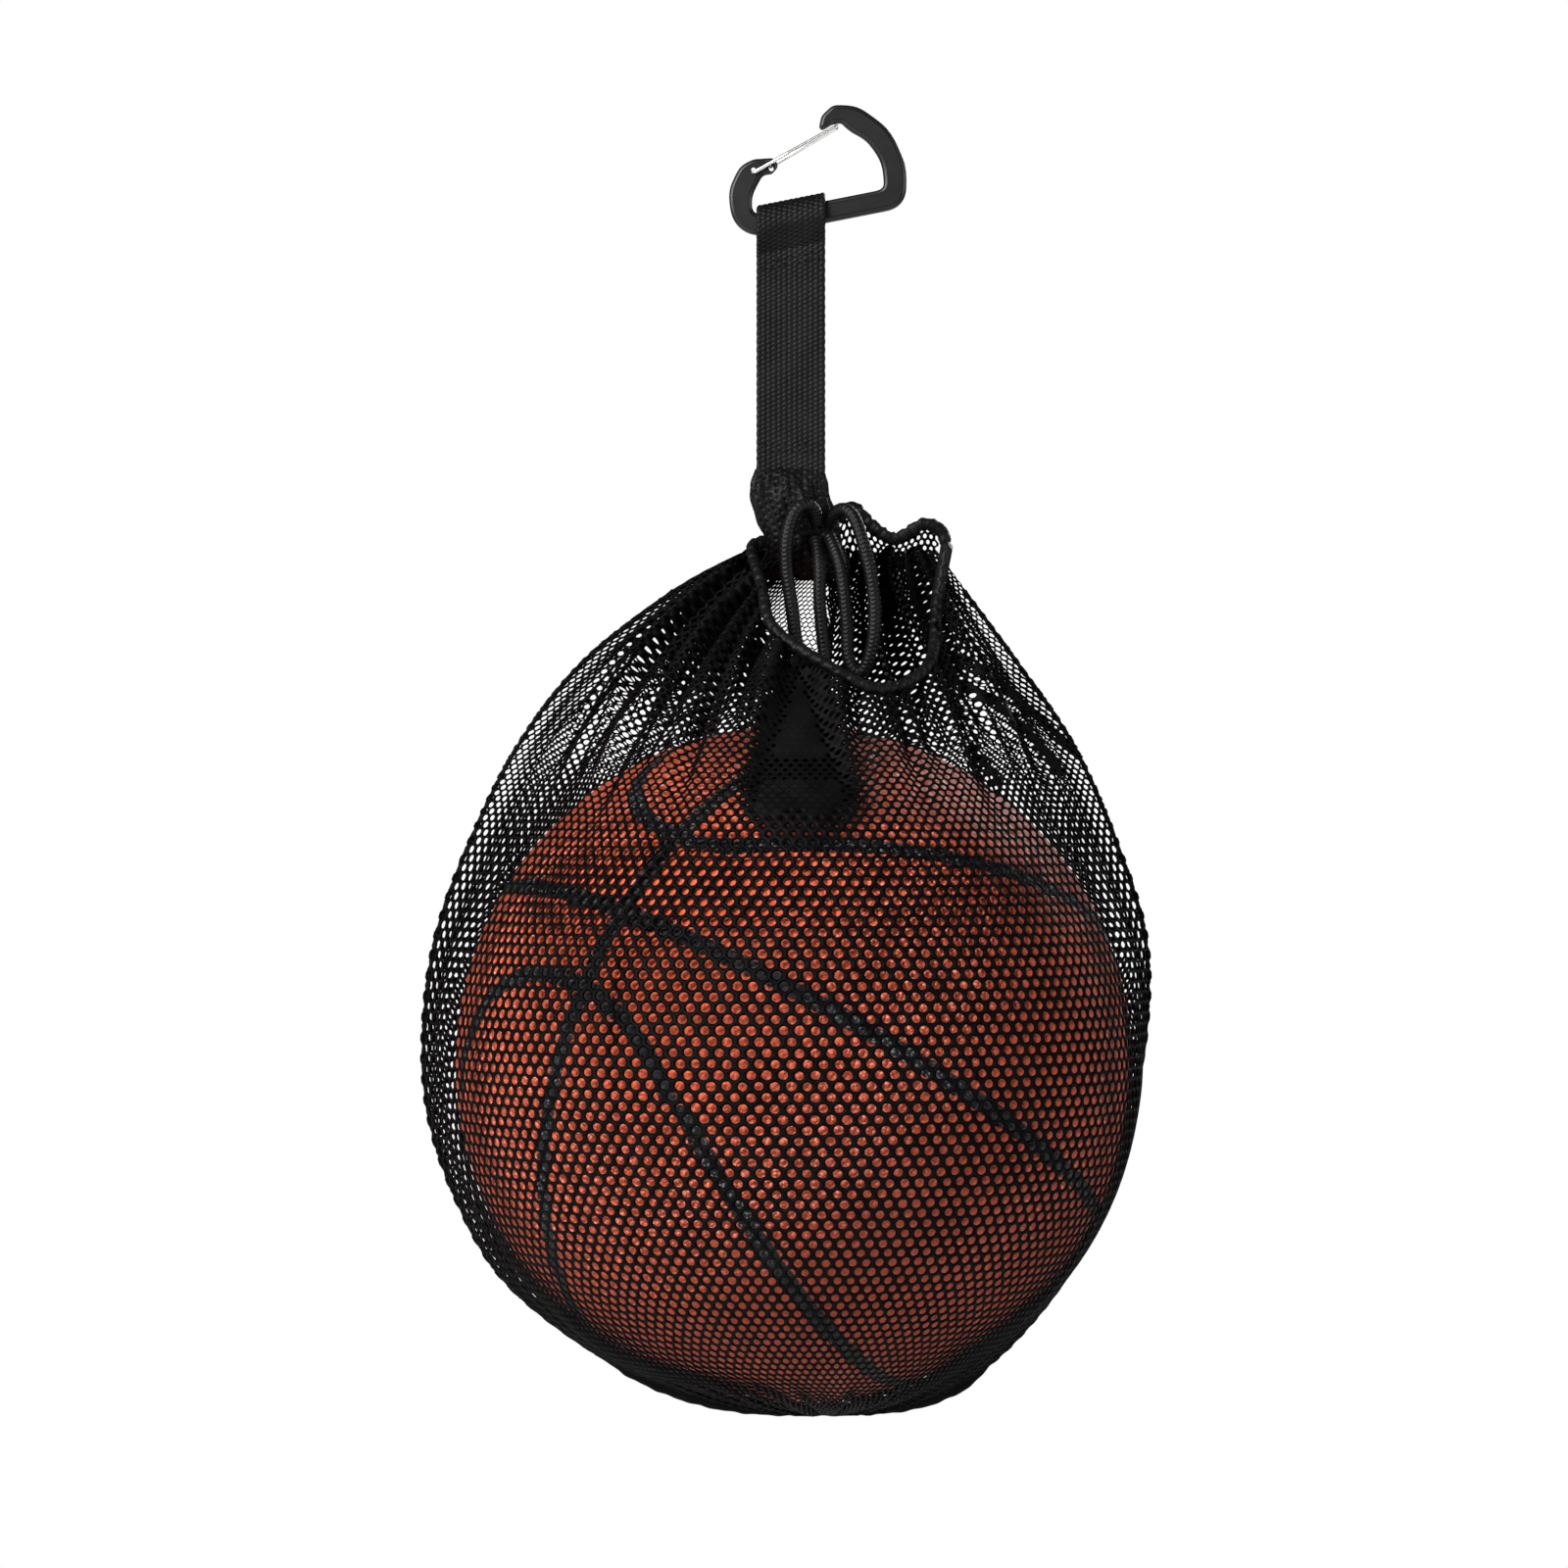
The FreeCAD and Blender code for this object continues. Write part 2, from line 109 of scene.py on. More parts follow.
CORD_WIDTH = 0.0048
CORD_STEP = 0.00035
CORD_SIDES = 28
BRAID_STRANDS = 4
BRAID_PITCH = 0.0062        # length of cord in which a strand goes once round
BRAID_RELIEF = 0.19

LOOP_LEFT = [
    (-9.0, -4.5, -141.0), (-10.0, -8.5, -134.5), (-17.0, -11.5, -135.5), (-20.5, -12.5, -147.0),
    (-20.0, -12.5, -160.0), (-18.0, -13.5, -173.0), (-16.5, -15.5, -186.0), (-12.5, -15.0, -196.5),
    (-6.0, -13.5, -193.0), (-7.5, -12.0, -181.0), (-8.5, -11.0, -168.0), (-8.0, -10.0, -155.0),
    (-9.8, -4.0, -147.0),
]
LOOP_RIGHT = [
    (-6.0, 0.0, -141.5), (-2.0, -5.5, -135.5), (3.5, -10.5, -137.5), (7.0, -14.0, -148.0),
    (10.0, -15.5, -160.0), (11.5, -16.5, -173.0), (10.5, -17.0, -186.0), (6.5, -16.0, -196.5),
    (1.5, -14.5, -191.0), (1.5, -13.0, -179.0), (0.5, -12.0, -166.0), (-1.5, -10.0, -153.0),
    (-4.9, -3.0, -146.0),
]


def nurbs_line(points_mm):
    """Points along the smooth curve whose control points are given, in metres."""
    data = bpy.data.curves.new("route", "CURVE")
    data.dimensions = "3D"
    data.resolution_u = 24
    spline = data.splines.new("NURBS")
    spline.points.add(len(points_mm) - 1)
    for point, place in zip(spline.points, points_mm):
        point.co = (place[0] * MM, place[1] * MM, place[2] * MM, 1)
    spline.order_u = 3
    spline.use_endpoint_u = True
    holder = bpy.data.objects.new("route", data)
    mesh = bpy.data.meshes.new_from_object(holder)
    line = np.array([vertex.co[:] for vertex in mesh.vertices])
    bpy.data.objects.remove(holder)
    bpy.data.meshes.remove(mesh)
    bpy.data.curves.remove(data)
    return line


def resample(line, step):
    """The same line with points an even step apart."""
    gaps = np.linalg.norm(np.diff(line, axis=0), axis=1)
    along = np.concatenate([[0], np.cumsum(gaps)])
    count = max(3, int(round(along[-1] / step)))
    wanted = np.linspace(0, along[-1], count + 1)
    return np.stack([np.interp(wanted, along, line[:, axis]) for axis in range(3)], axis=1), wanted


def unit(vectors):
    return vectors / np.maximum(np.linalg.norm(vectors, axis=-1, keepdims=True), 1e-12)


def carried_frames(line, first_side):
    """Tangent, side and normal along a line, carried without twist."""
    tangents = unit(np.gradient(line, axis=0))
    sides = np.zeros_like(line)
    side = np.array(first_side, float)
    for index, tangent in enumerate(tangents):
        side = side - tangent * side.dot(tangent)
        side = side / np.linalg.norm(side)
        sides[index] = side
    return tangents, sides, np.cross(tangents, sides)


def new_object(name, verts, faces, material=None, smooth=True):
    mesh = bpy.data.meshes.new(name)
    mesh.from_pydata([tuple(map(float, v)) for v in verts], [], [tuple(map(int, f)) for f in faces])
    mesh.validate()
    mesh.update()
    if smooth:
        mesh.polygons.foreach_set("use_smooth", [True] * len(mesh.polygons))
    made = bpy.data.objects.new(name, mesh)
    bpy.context.scene.collection.objects.link(made)
    if material:
        mesh.materials.append(material)
    return made


def grid_faces(rows, columns, closed_columns):
    """Quads of a grid of rows by columns; closed_columns joins the last column to the first."""
    faces = []
    across = columns if closed_columns else columns - 1
    for row in range(rows - 1):
        for column in range(across):
            after = (column + 1) % columns
            faces.append((row * columns + column, row * columns + after,
                          (row + 1) * columns + after, (row + 1) * columns + column))
    return faces


def enclosed_volume(verts, faces):
    """Six times the volume inside a closed skin; below 0 where its faces look inwards."""
    total = 0.0
    for size in (3, 4):
        group = np.array([face for face in faces if len(face) == size])
        if len(group):
            corners = verts[group]
            for number in range(2, size):
                crossed = np.cross(corners[:, number - 1], corners[:, number])
                total += np.sum(corners[:, 0] * crossed)
    return total


def capped_tube(name, rings, material):
    """A closed skin over rings of points of the same count."""
    rows, columns = len(rings), len(rings[0])
    verts = np.concatenate(rings)
    faces = grid_faces(rows, columns, True)
    first = rings[0].mean(axis=0)
    last = rings[-1].mean(axis=0)
    verts = np.concatenate([verts, [first, last]])
    for column in range(columns):
        after = (column + 1) % columns
        faces.append((after, column, rows * columns))
        start = (rows - 1) * columns
        faces.append((start + column, start + after, rows * columns + 1))
    if enclosed_volume(verts, faces) < 0:
        faces = [tuple(reversed(face)) for face in faces]
    return new_object(name, verts, faces, material)


def braided_cord(name, line, width, material, first_side=(1, 0, 0), flat=1.0):
    """A round braid: strands that wind both ways and cross over each other."""
    points, along = resample(line, CORD_STEP)
    _, sides, normals = carried_frames(points, first_side)
    angles = np.linspace(0, 2 * math.pi, CORD_SIDES, endpoint=False)
    rings = []
    for index, place in enumerate(points):
        phase = 2 * math.pi * along[index] / BRAID_PITCH
        one_way = np.cos(BRAID_STRANDS * angles + BRAID_STRANDS * phase)
        other_way = np.cos(BRAID_STRANDS * angles - BRAID_STRANDS * phase)
        relief = np.maximum(one_way, other_way) * 0.5 + 0.5
        radius = width / 2 * (1 - BRAID_RELIEF + BRAID_RELIEF * relief)
        ring = (place + np.outer(np.cos(angles) * radius, sides[index])
                + np.outer(np.sin(angles) * radius * flat, normals[index]))
        rings.append(ring)
    return capped_tube(name, rings, material)


# ------------------------------------------------------------------ materials

def node_material(name):
    material = bpy.data.materials.new(name)
    material.use_nodes = True
    tree = material.node_tree
    return material, tree, tree.nodes["Principled BSDF"]


def add_node(tree, kind, **values):
    node = tree.nodes.new(kind)
    for key, value in values.items():
        if key in node.inputs:
            node.inputs[key].default_value = value
        else:
            setattr(node, key, value)
    return node


def noise(tree, scale, detail=3.0, roughness=0.5):
    coords = add_node(tree, "ShaderNodeTexCoord")
    made = add_node(tree, "ShaderNodeTexNoise")
    made.inputs["Scale"].default_value = scale
    made.inputs["Detail"].default_value = detail
    made.inputs["Roughness"].default_value = roughness
    tree.links.new(coords.outputs["Object"], made.inputs["Vector"])
    return made


def ramp(tree, source, low, high, low_place=0.35, high_place=0.65):
    made = add_node(tree, "ShaderNodeValToRGB")
    made.color_ramp.elements[0].position = low_place
    made.color_ramp.elements[0].color = (*low, 1)
    made.color_ramp.elements[1].position = high_place
    made.color_ramp.elements[1].color = (*high, 1)
    tree.links.new(source, made.inputs["Fac"])
    return made


def number_range(tree, source, low, high):
    made = add_node(tree, "ShaderNodeMapRange")
    made.inputs["To Min"].default_value = low
    made.inputs["To Max"].default_value = high
    tree.links.new(source, made.inputs["Value"])
    return made


def bump(tree, shader, height, strength, distance, under=None):
    made = add_node(tree, "ShaderNodeBump")
    made.inputs["Strength"].default_value = strength
    made.inputs["Distance"].default_value = distance
    tree.links.new(height, made.inputs["Height"])
    if under:
        tree.links.new(under.outputs["Normal"], made.inputs["Normal"])
    tree.links.new(made.outputs["Normal"], shader.inputs["Normal"])
    return made


def wave(tree, scale, direction, distortion=0.0, turn=(0, 0, 0)):
    coords = add_node(tree, "ShaderNodeTexCoord")
    mapping = add_node(tree, "ShaderNodeMapping")
    mapping.inputs["Rotation"].default_value = turn
    made = add_node(tree, "ShaderNodeTexWave")
    made.bands_direction = direction
    made.inputs["Scale"].default_value = scale
    made.inputs["Distortion"].default_value = distortion
    made.inputs["Detail"].default_value = 1.0
    tree.links.new(coords.outputs["Object"], mapping.inputs["Vector"])
    tree.links.new(mapping.outputs["Vector"], made.inputs["Vector"])
    return made


def multiplied(tree, first, second):
    made = add_node(tree, "ShaderNodeMath", operation="MULTIPLY")
    tree.links.new(first, made.inputs[0])
    tree.links.new(second, made.inputs[1])
    return made


def cloth_material(name, dark, light, rough, fibre_scale, gloss_level, fibre_bump, weave=None):
    """A matt textile: uneven dye, fibre fuzz, and a weave of two crossed waves if given."""
    material, tree, shader = node_material(name)
    patches = noise(tree, 90.0, 4.0, 0.6)
    tint = ramp(tree, patches.outputs["Fac"], dark, light)
    tree.links.new(tint.outputs["Color"], shader.inputs["Base Color"])
    fibres = noise(tree, fibre_scale, 6.0, 0.7)
    gloss = number_range(tree, fibres.outputs["Fac"], rough - 0.12, rough + 0.12)
    tree.links.new(gloss.outputs["Result"], shader.inputs["Roughness"])
    shader.inputs["Specular IOR Level"].default_value = gloss_level
    fuzz = bump(tree, shader, fibres.outputs["Fac"], 0.6, fibre_bump)
    if weave:
        scale, depth, turn = weave
        warp = wave(tree, scale, "X", 0.3, turn)
        weft = wave(tree, scale, "Z", 0.3, turn)
        crossed = multiplied(tree, warp.outputs["Fac"], weft.outputs["Fac"])
        bump(tree, shader, crossed.outputs["Value"], 0.8, depth, fuzz)
    return material


def carabiner_material():
    material, tree, shader = node_material("satin_black_coat")
    patches = noise(tree, 55.0, 5.0, 0.6)
    tint = ramp(tree, patches.outputs["Fac"], (0.0022, 0.0022, 0.0025), (0.0045, 0.0045, 0.005))
    tree.links.new(tint.outputs["Color"], shader.inputs["Base Color"])
    grain = noise(tree, 1900.0, 3.0, 0.6)
    gloss = number_range(tree, patches.outputs["Fac"], 0.34, 0.48)
    tree.links.new(gloss.outputs["Result"], shader.inputs["Roughness"])
    shader.inputs["Specular IOR Level"].default_value = 0.22
    shader.inputs["Coat Weight"].default_value = 0.05
    shader.inputs["Coat Roughness"].default_value = 0.3
    bump(tree, shader, grain.outputs["Fac"], 0.15, 0.00003)
    return material


def gate_material():
    material, tree, shader = node_material("polished_wire")
    shader.inputs["Metallic"].default_value = 1.0
    streaks = noise(tree, 300.0, 2.0, 0.5)
    tint = ramp(tree, streaks.outputs["Fac"], (0.62, 0.62, 0.62), (0.70, 0.70, 0.69))
    tree.links.new(tint.outputs["Color"], shader.inputs["Base Color"])
    gloss = number_range(tree, streaks.outputs["Fac"], 0.24, 0.30)
    tree.links.new(gloss.outputs["Result"], shader.inputs["Roughness"])
    return material


COAT = carabiner_material()
WIRE = gate_material()
WEBBING = cloth_material("webbing", (0.0012, 0.0012, 0.0015), (0.0035, 0.0035, 0.0042), 0.44, 2600.0, 0.09, 0.00012)
THREAD = cloth_material("thread", (0.002, 0.002, 0.0025), (0.004, 0.004, 0.005), 0.4, 3500.0, 0.09, 0.00006)
NET = cloth_material("net", (0.0006, 0.0006, 0.0008), (0.0020, 0.0020, 0.0023), 0.55, 3000.0, 0.03, 0.00010)
TAPE = cloth_material("tape", (0.0008, 0.0008, 0.001), (0.0024, 0.0024, 0.003), 0.5, 2400.0, 0.04, 0.00006,
                      (420.0, 0.00008, (0, 0, 0)))
CORD = cloth_material("cord", (0.0014, 0.0014, 0.0017), (0.004, 0.004, 0.0046), 0.42, 3200.0, 0.09, 0.00008)
KNIT = cloth_material("knit", (0.001, 0.001, 0.0012), (0.0032, 0.0032, 0.0037), 0.46, 2600.0, 0.08, 0.00010)


def paint_node(name, material):
    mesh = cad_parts[name].data
    mesh.materials.clear()
    mesh.materials.append(material)


def declare_loop(name, points_mm, node):
    line = nurbs_line(points_mm)
    made = braided_cord(name, line, CORD_WIDTH, CORD)
    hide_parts(node)
    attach(made, "bag")


declare_loop("drawcord_bight_left", LOOP_LEFT, "drawcord_loop_left")
declare_loop("drawcord_bight_right", LOOP_RIGHT, "drawcord_loop_right")

# ------------------------------------------------------------------ form of the bag

# Height, left edge, right edge and depth of each level, in mm
LEVELS = np.array([
    (-150.0, -33.0, 33.0, 16.0), (-165.0, -61.0, 44.0, 28.0), (-190.0, -93.0, 62.5, 47.0),
    (-220.0, -116.5, 83.0, 69.0), (-255.0, -134.0, 98.5, 94.0), (-290.0, -146.3, 109.0, 115.0),
    (-325.0, -150.5, 108.5, 123.5), (-355.0, -148.0, 101.5, 121.7), (-385.0, -137.5, 93.0, 112.5),
    (-412.0, -121.0, 79.0, 95.7), (-436.0, -91.0, 59.0, 69.6), (-450.0, -62.0, 40.0, 42.0),
    (-457.0, -38.0, 22.0, 14.0), (-458.4, -26.0, 10.0, 3.2),
])
BALL_CENTRE = np.array([-17.5, 0.0, -333.9])
BALL_RADIUS = 121.5
BALL_LEVELS = (-430.0, -225.0)      # between these the net is drawn round the ball
ROW_PITCH = 3.75
SLACK_CLOSENESS = 0.8      # how much closer the rows lie where nothing stretches them


def smooth_step(low, high, value):
    share = np.clip((value - low) / (high - low), 0, 1)
    return share * share * (3 - 2 * share)


def catmull(points, per_span=12):
    """A smooth line through the points."""
    points = np.array(points, float)
    ends = np.vstack([2 * points[0] - points[1], points, 2 * points[-1] - points[-2]])
    line = []
    for index in range(1, len(ends) - 2):
        before, start, end, after = ends[index - 1:index + 3]
        for step in range(per_span):
            t = step / per_span
            line.append(0.5 * (2 * start + (end - before) * t
                               + (2 * before - 5 * start + 4 * end - after) * t * t
                               + (3 * start - before - 3 * end + after) * t ** 3))
    line.append(points[-1])
    return np.array(line)


PROFILE = catmull(LEVELS, 16)


def at_height(heights):
    """Left edge, right edge, depth and centre of the bag's section at each height."""
    order = np.argsort(PROFILE[:, 0])
    table = PROFILE[order]
    left, right, depth = (np.interp(heights, table[:, 0], table[:, column]) for column in (1, 2, 3))
    on_ball = smooth_step(BALL_LEVELS[0] - 18, BALL_LEVELS[0], heights)
    on_ball = on_ball * (1 - smooth_step(BALL_LEVELS[1] - 10, BALL_LEVELS[1] + 30, heights))
    middle = (left + right) / 2
    centre = middle + (BALL_CENTRE[0] - middle) * on_ball
    return left, right, depth, centre


def profile_lengths():
    """Length of net from its top to each height of the profile; slack net lies closer than stretched net."""
    left, right, depth, _ = at_height(PROFILE[:, 0])
    half = (right - left) / 2
    steps = np.sqrt(np.diff(PROFILE[:, 0]) ** 2
                    + (np.diff(depth) ** 2 + np.diff(half) ** 2) / 2)
    slack = smooth_step(-262, -225, (PROFILE[1:, 0] + PROFILE[:-1, 0]) / 2)
    steps = steps * (1 + SLACK_CLOSENESS * slack)
    return np.concatenate([[0], np.cumsum(steps)])


DOWN = profile_lengths()


def section_point(across, heights):
    """Where a share of the way across from right to left lies: a circle with tangents to both edges."""
    left, right, depth, centre = at_height(heights)
    reach_left = np.maximum(centre - left, depth + 0.05)
    reach_right = np.maximum(right - centre, depth + 0.05)
    turn_left = np.arccos(depth / reach_left)
    turn_right = np.arccos(depth / reach_right)
    run_left = np.sqrt(reach_left ** 2 - depth ** 2)
    run_right = np.sqrt(reach_right ** 2 - depth ** 2)
    arc = depth * (math.pi - turn_left - turn_right)
    place = across * (run_left + arc + run_right)
    on_right = np.clip(place / run_right, 0, 1)
    x_right = reach_right + (depth * np.cos(turn_right) - reach_right) * on_right
    y_right = depth * np.sin(turn_right) * on_right
    angle = turn_right + (place - run_right) / depth
    x_arc = depth * np.cos(angle)
    y_arc = depth * np.sin(angle)
    on_left = np.clip((place - run_right - arc) / run_left, 0, 1)
    x_left = -depth * np.cos(turn_left) + (-reach_left + depth * np.cos(turn_left)) * on_left
    y_left = depth * np.sin(turn_left) * (1 - on_left)
    x = np.where(place < run_right, x_right, np.where(place < run_right + arc, x_arc, x_left))
    y = np.where(place < run_right, y_right, np.where(place < run_right + arc, y_arc, y_left))
    return np.stack([x + centre, y, heights], axis=-1)


def depth_at(x, z):
    """Depth of the net at a place in the front elevation."""
    left, right, depth, centre = at_height(np.array([float(z)]))
    left, right, depth, centre = left[0], right[0], depth[0], centre[0]
    offset = x - centre
    reach = max((right - centre) if offset > 0 else (centre - left), depth + 0.05)
    turn = math.acos(depth / reach)
    if abs(offset) < depth * math.cos(turn):
        return math.sqrt(depth ** 2 - offset ** 2)
    share = (reach - abs(offset)) / (reach - depth * math.cos(turn))
    return max(0.0, share) * depth * math.sin(turn)


FRONT_PLEATS = [(9, 0.4, 1.0), (16, 2.1, 0.75), (25, 4.0, 0.5), (41, 1.2, 0.22)]
BACK_PLEATS = [(8, 1.9, 1.0), (15, 0.3, 0.8), (27, 2.8, 0.45), (38, 5.0, 0.22)]


PLEAT_TOP = -187.0
PLEAT_WIDEST = -234.0
PLEAT_FOOT = -256.0
PLEAT_DEPTH = 6.0


def pleat_shade(x, z):
    """1 inside the pear-shaped pleat under the mouth, fading to 0 at its rim. Inside it the net's holes are closed
    as painted shade: solid dark net stands for the shade in the hollow between the folds, and partly for the net
    lying doubled there.
    """
    down = np.clip((PLEAT_TOP - z) / (PLEAT_TOP - PLEAT_WIDEST), 0, 1)
    below = np.clip((PLEAT_WIDEST - z) / (PLEAT_WIDEST - PLEAT_FOOT), 0, 1)
    half = (1.5 + 18.5 * down ** 0.85) * np.sqrt(1 - below ** 2)
    beside = 1 - smooth_step(half - 4, half + 4, np.abs(x + 15.5))
    return beside * (1 - smooth_step(PLEAT_TOP - 4, PLEAT_TOP, z)) * (1 - below ** 2)


GAP_CENTRE = (-17.0, -174.0)
GAP_REACH = (12.0, 17.0)


def gap_share(x, z):
    """1 in the part of the mouth where only the smooth back of the net shows."""
    across = (x - GAP_CENTRE[0]) / GAP_REACH[0]
    down = (z - GAP_CENTRE[1]) / GAP_REACH[1]
    return 1 - smooth_step(0.8, 1.25, (across ** 4 + down ** 4) ** 0.25)


def net_surface(side, pleats):
    """The bag's surface: the share across and the share down give a place in mm."""
    def surface(across, down):
        heights = np.interp(down * DOWN[-1], DOWN, PROFILE[:, 0])
        base = section_point(across, heights)
        nudge = 1e-3
        along = section_point(np.clip(across + nudge, 0, 1), heights)
        along = along - section_point(np.clip(across - nudge, 0, 1), heights)
        lower = np.clip(down + nudge, 0, 1)
        upper = np.clip(down - nudge, 0, 1)
        downward = section_point(across, np.interp(lower * DOWN[-1], DOWN, PROFILE[:, 0]))
        downward = downward - section_point(across, np.interp(upper * DOWN[-1], DOWN, PROFILE[:, 0]))
        outward = unit(np.cross(along, downward))
        outward = outward * np.where(outward[..., 1:2] < 0, -1, 1)
        wobble = np.zeros_like(across)
        for count, phase, size in pleats:
            drift = 0.35 * math.sin(phase * 3) * np.sin(down * 9 + phase)
            wobble = wobble + size * np.sin(2 * math.pi * count * across + phase + drift * 6)
        gathered = smooth_step(-262, -168, heights)
        edge = np.minimum(across, 1 - across)
        beside_ball = (1 - smooth_step(0.03, 0.16, edge)) * (1 - gathered)
        hold = smooth_step(0, 0.035, edge) * (0.12 + 0.88 * smooth_step(0.02, 0.16, edge))
        foot = smooth_step(-440, -456, heights)
        size = gathered * 3.4 + beside_ball * 0.8 + foot * 0.6
        if side > 0:
            size = size * (1 - gap_share(base[..., 0], heights))
        lift = wobble * size * hold
        if side < 0:
            pleat = pleat_shade(base[..., 0], heights)
            lift = lift * (1 - pleat) + 2.0 * pleat * (1 - pleat) - PLEAT_DEPTH * pleat * smooth_step(-246, -222, heights)
        place = base + outward * lift[..., None]
        place[..., 1] = np.maximum(place[..., 1], 0.25)
        return place * np.array([1, side, 1])
    return surface


# ------------------------------------------------------------------ the holed net

# Corners and side middles of one cell, anticlockwise: columns and rows from its centre
CELL_RING = [(0.5, 0), (0.5, 0.25), (0.25, 0.5), (0, 0.75), (-0.25, 0.5), (-0.5, 0.25),
             (-0.5, 0), (-0.5, -0.25), (-0.25, -0.5), (0, -0.75), (0.25, -0.5), (0.5, -0.25)]
HOLE_ACROSS = 0.31
HOLE_DOWN = 0.41
BAR_HALF = 0.5              # mm, half of a bar's thickness
GAP_OPENNESS = 1.48
CLOSED_BELOW = 0.16         # a hole drawn smaller than this share is closed


def hash_unit(first, second, salt):
    """A fixed pseudo-random number between 0 and 1."""
    value = math.sin(first * 127.1 + second * 311.7 + salt * 74.7) * 43758.5453
    return value - math.floor(value)


def holed_net(name, surface, columns, rows, keep, openness, material, span=(0, None), flip=False):
    """A sheet of six-sided cells, each with a rounded hole, on a surface; bars are thick in the middle."""
    first, last = span[0], columns if span[1] is None else span[1]
    cells = []
    for row in range(1, rows):
        for column in range(first, last):
            centre = column + 0.5 * (row % 2)
            if 0.4 < centre < columns - 0.4:
                cells.append((centre, row))
    centres = np.array(cells, float)
    shares = centres / np.array([columns, rows])
    places = surface(shares[:, 0], shares[:, 1])
    params, faces, kinds, index_of = [], [], [], {}

    def boundary(column, row):
        key = (round(column * 4), round(row * 4))
        if key not in index_of:
            index_of[key] = len(params)
            params.append((column, row))
            kinds.append(1)
            params.append((column, row))
            kinds.append(-1)
        return index_of[key]

    kept = 0
    for (column, row), place in zip(cells, places):
        if not keep(place):
            continue
        kept += 1
        ring = [boundary(column + du, row + dv) for du, dv in CELL_RING]
        share = openness(place, column, row) * (0.93 + 0.14 * hash_unit(column, row, 1))
        if share < CLOSED_BELOW:
            dimple = len(params)
            params.append((column, row))
            kinds.append(0)
            for number in range(12):
                after = (number + 1) % 12
                faces.append((ring[number], ring[after], dimple))
                faces.append((ring[after] + 1, ring[number] + 1, dimple))
            continue
        shift = ((hash_unit(column, row, 2) - 0.5) * 0.05, (hash_unit(column, row, 3) - 0.5) * 0.08)
        start = len(params)
        for number in range(12):
            angle = math.pi * number / 6
            params.append((column + shift[0] + math.cos(angle) * HOLE_ACROSS * share,
                           row + shift[1] + math.sin(angle) * HOLE_DOWN * share))
            kinds.append(0)
        for number in range(12):
            after = (number + 1) % 12
            faces.append((ring[number], ring[after], start + after, start + number))
            faces.append((ring[after] + 1, ring[number] + 1, start + number, start + after))
    params = np.array(params) / np.array([columns, rows])
    kinds = np.array(kinds, float)
    across = np.clip(params[:, 0], 0, 1)
    down = np.clip(params[:, 1], 0, 1)
    places = surface(across, down)
    nudge = 0.25 / columns
    along = surface(np.clip(across + nudge, 0, 1), down) - surface(np.clip(across - nudge, 0, 1), down)
    nudge = 0.25 / rows
    below = surface(across, np.clip(down + nudge, 0, 1)) - surface(across, np.clip(down - nudge, 0, 1))
    normals = unit(np.cross(along, below))
    places = places + normals * (kinds * BAR_HALF)[:, None]
    if flip:
        faces = [tuple(reversed(face)) for face in faces]
    return new_object(name, places * MM, faces, material), kept


# Lower edge of the mouth in the front of the net, left to right
FRONT_MOUTH = [
    (-42.0, -154.0), (-29.0, -166.0), (-25.0, -181.0), (-9.0, -193.0),
    (12.0, -203.0), (30.0, -194.0), (33.5, -170.0), (36.0, -156.0),
]
MOUTH_LINE = catmull(FRONT_MOUTH, 10)
# Dark folds that run down to the right from the mouth
FOLDS = [
    [(41.6, -190.4), (53.2, -195.6), (63.0, -204.4), (75.2, -215.6), (84.7, -224.3)],
    [(42.3, -199.2), (54.6, -205.8), (64.4, -214.5), (77.3, -229.9)],
    [(45.1, -222.2), (54.6, -233.1)],
]


def mouth_height(x):
    return np.interp(x, MOUTH_LINE[:, 0], MOUTH_LINE[:, 1])


def in_front_net(place):
    x, _, z = place
    inside = FRONT_MOUTH[0][0] < x < FRONT_MOUTH[-1][0]
    return not inside or z < mouth_height(x) + 1.0


def distance_to_line(x, z, line):
    line = np.array(line)
    nearest = 1e9
    for start, end in zip(line, line[1:]):
        run = end - start
        t = np.clip(((x - start[0]) * run[0] + (z - start[1]) * run[1]) / run.dot(run), 0, 1)
        nearest = min(nearest, math.hypot(x - start[0] - t * run[0], z - start[1] - t * run[1]))
    return nearest


def gather_lines(column, row, salt):
    """Streaks of crowded net that run down from the neck, between 0 and 1."""
    slow = math.sin(column * 0.83 + salt + 0.6 * math.sin(row * 0.11 + salt))
    quick = math.sin(column * 2.1 - row * 0.05 + 2 * salt)
    return 0.5 + 0.32 * slow + 0.18 * quick


def crowding(place, near, far):
    """1 at the neck and the mouth, 0 away from them."""
    x, _, z = place
    if z > -150:
        return 1.0
    away = math.hypot((x - NECK_PLACE[0]) * 0.8, z - NECK_PLACE[1])
    return 1 - float(smooth_step(near, far, away))


NECK_PLACE = (-12.0, -150.0)


def shoulder_share(place, streaks, near, far):
    """How open the gathered net is: least at the neck, more out on both shoulders."""
    x, _, z = place
    outer = 0.85 * float(smooth_step(36, 72, -x - 12)) + 0.9 * float(smooth_step(30, 50, x))
    crowded = crowding(place, near, far) * (1 - outer)
    return 1 - crowded * (0.35 + 0.75 * streaks)


def slack_share(x, z, column, row):
    """Slack net is a little more open and less even than net that is stretched on the ball."""
    loose = float(smooth_step(-250, -216, z))
    return (1 + 0.33 * loose) * (1 - loose * 0.14 * hash_unit(column, row, 7))


def front_openness(place, column, row):
    x, _, z = place
    # painted shade: holes close inside the pleat, so the hollow between its folds shows as solid dark net; partly
    # this is the doubled net there
    share = 1.0 - 0.97 * float(pleat_shade(x, z)) ** 0.7
    for line in FOLDS:
        share *= 1 - 0.9 * (1 - float(smooth_step(0.8, 2.6, distance_to_line(x, z, line))))
    share *= shoulder_share(place, gather_lines(column, row, 1.0), 25, 105)
    return max(0.0, share) * slack_share(x, z, column, row)


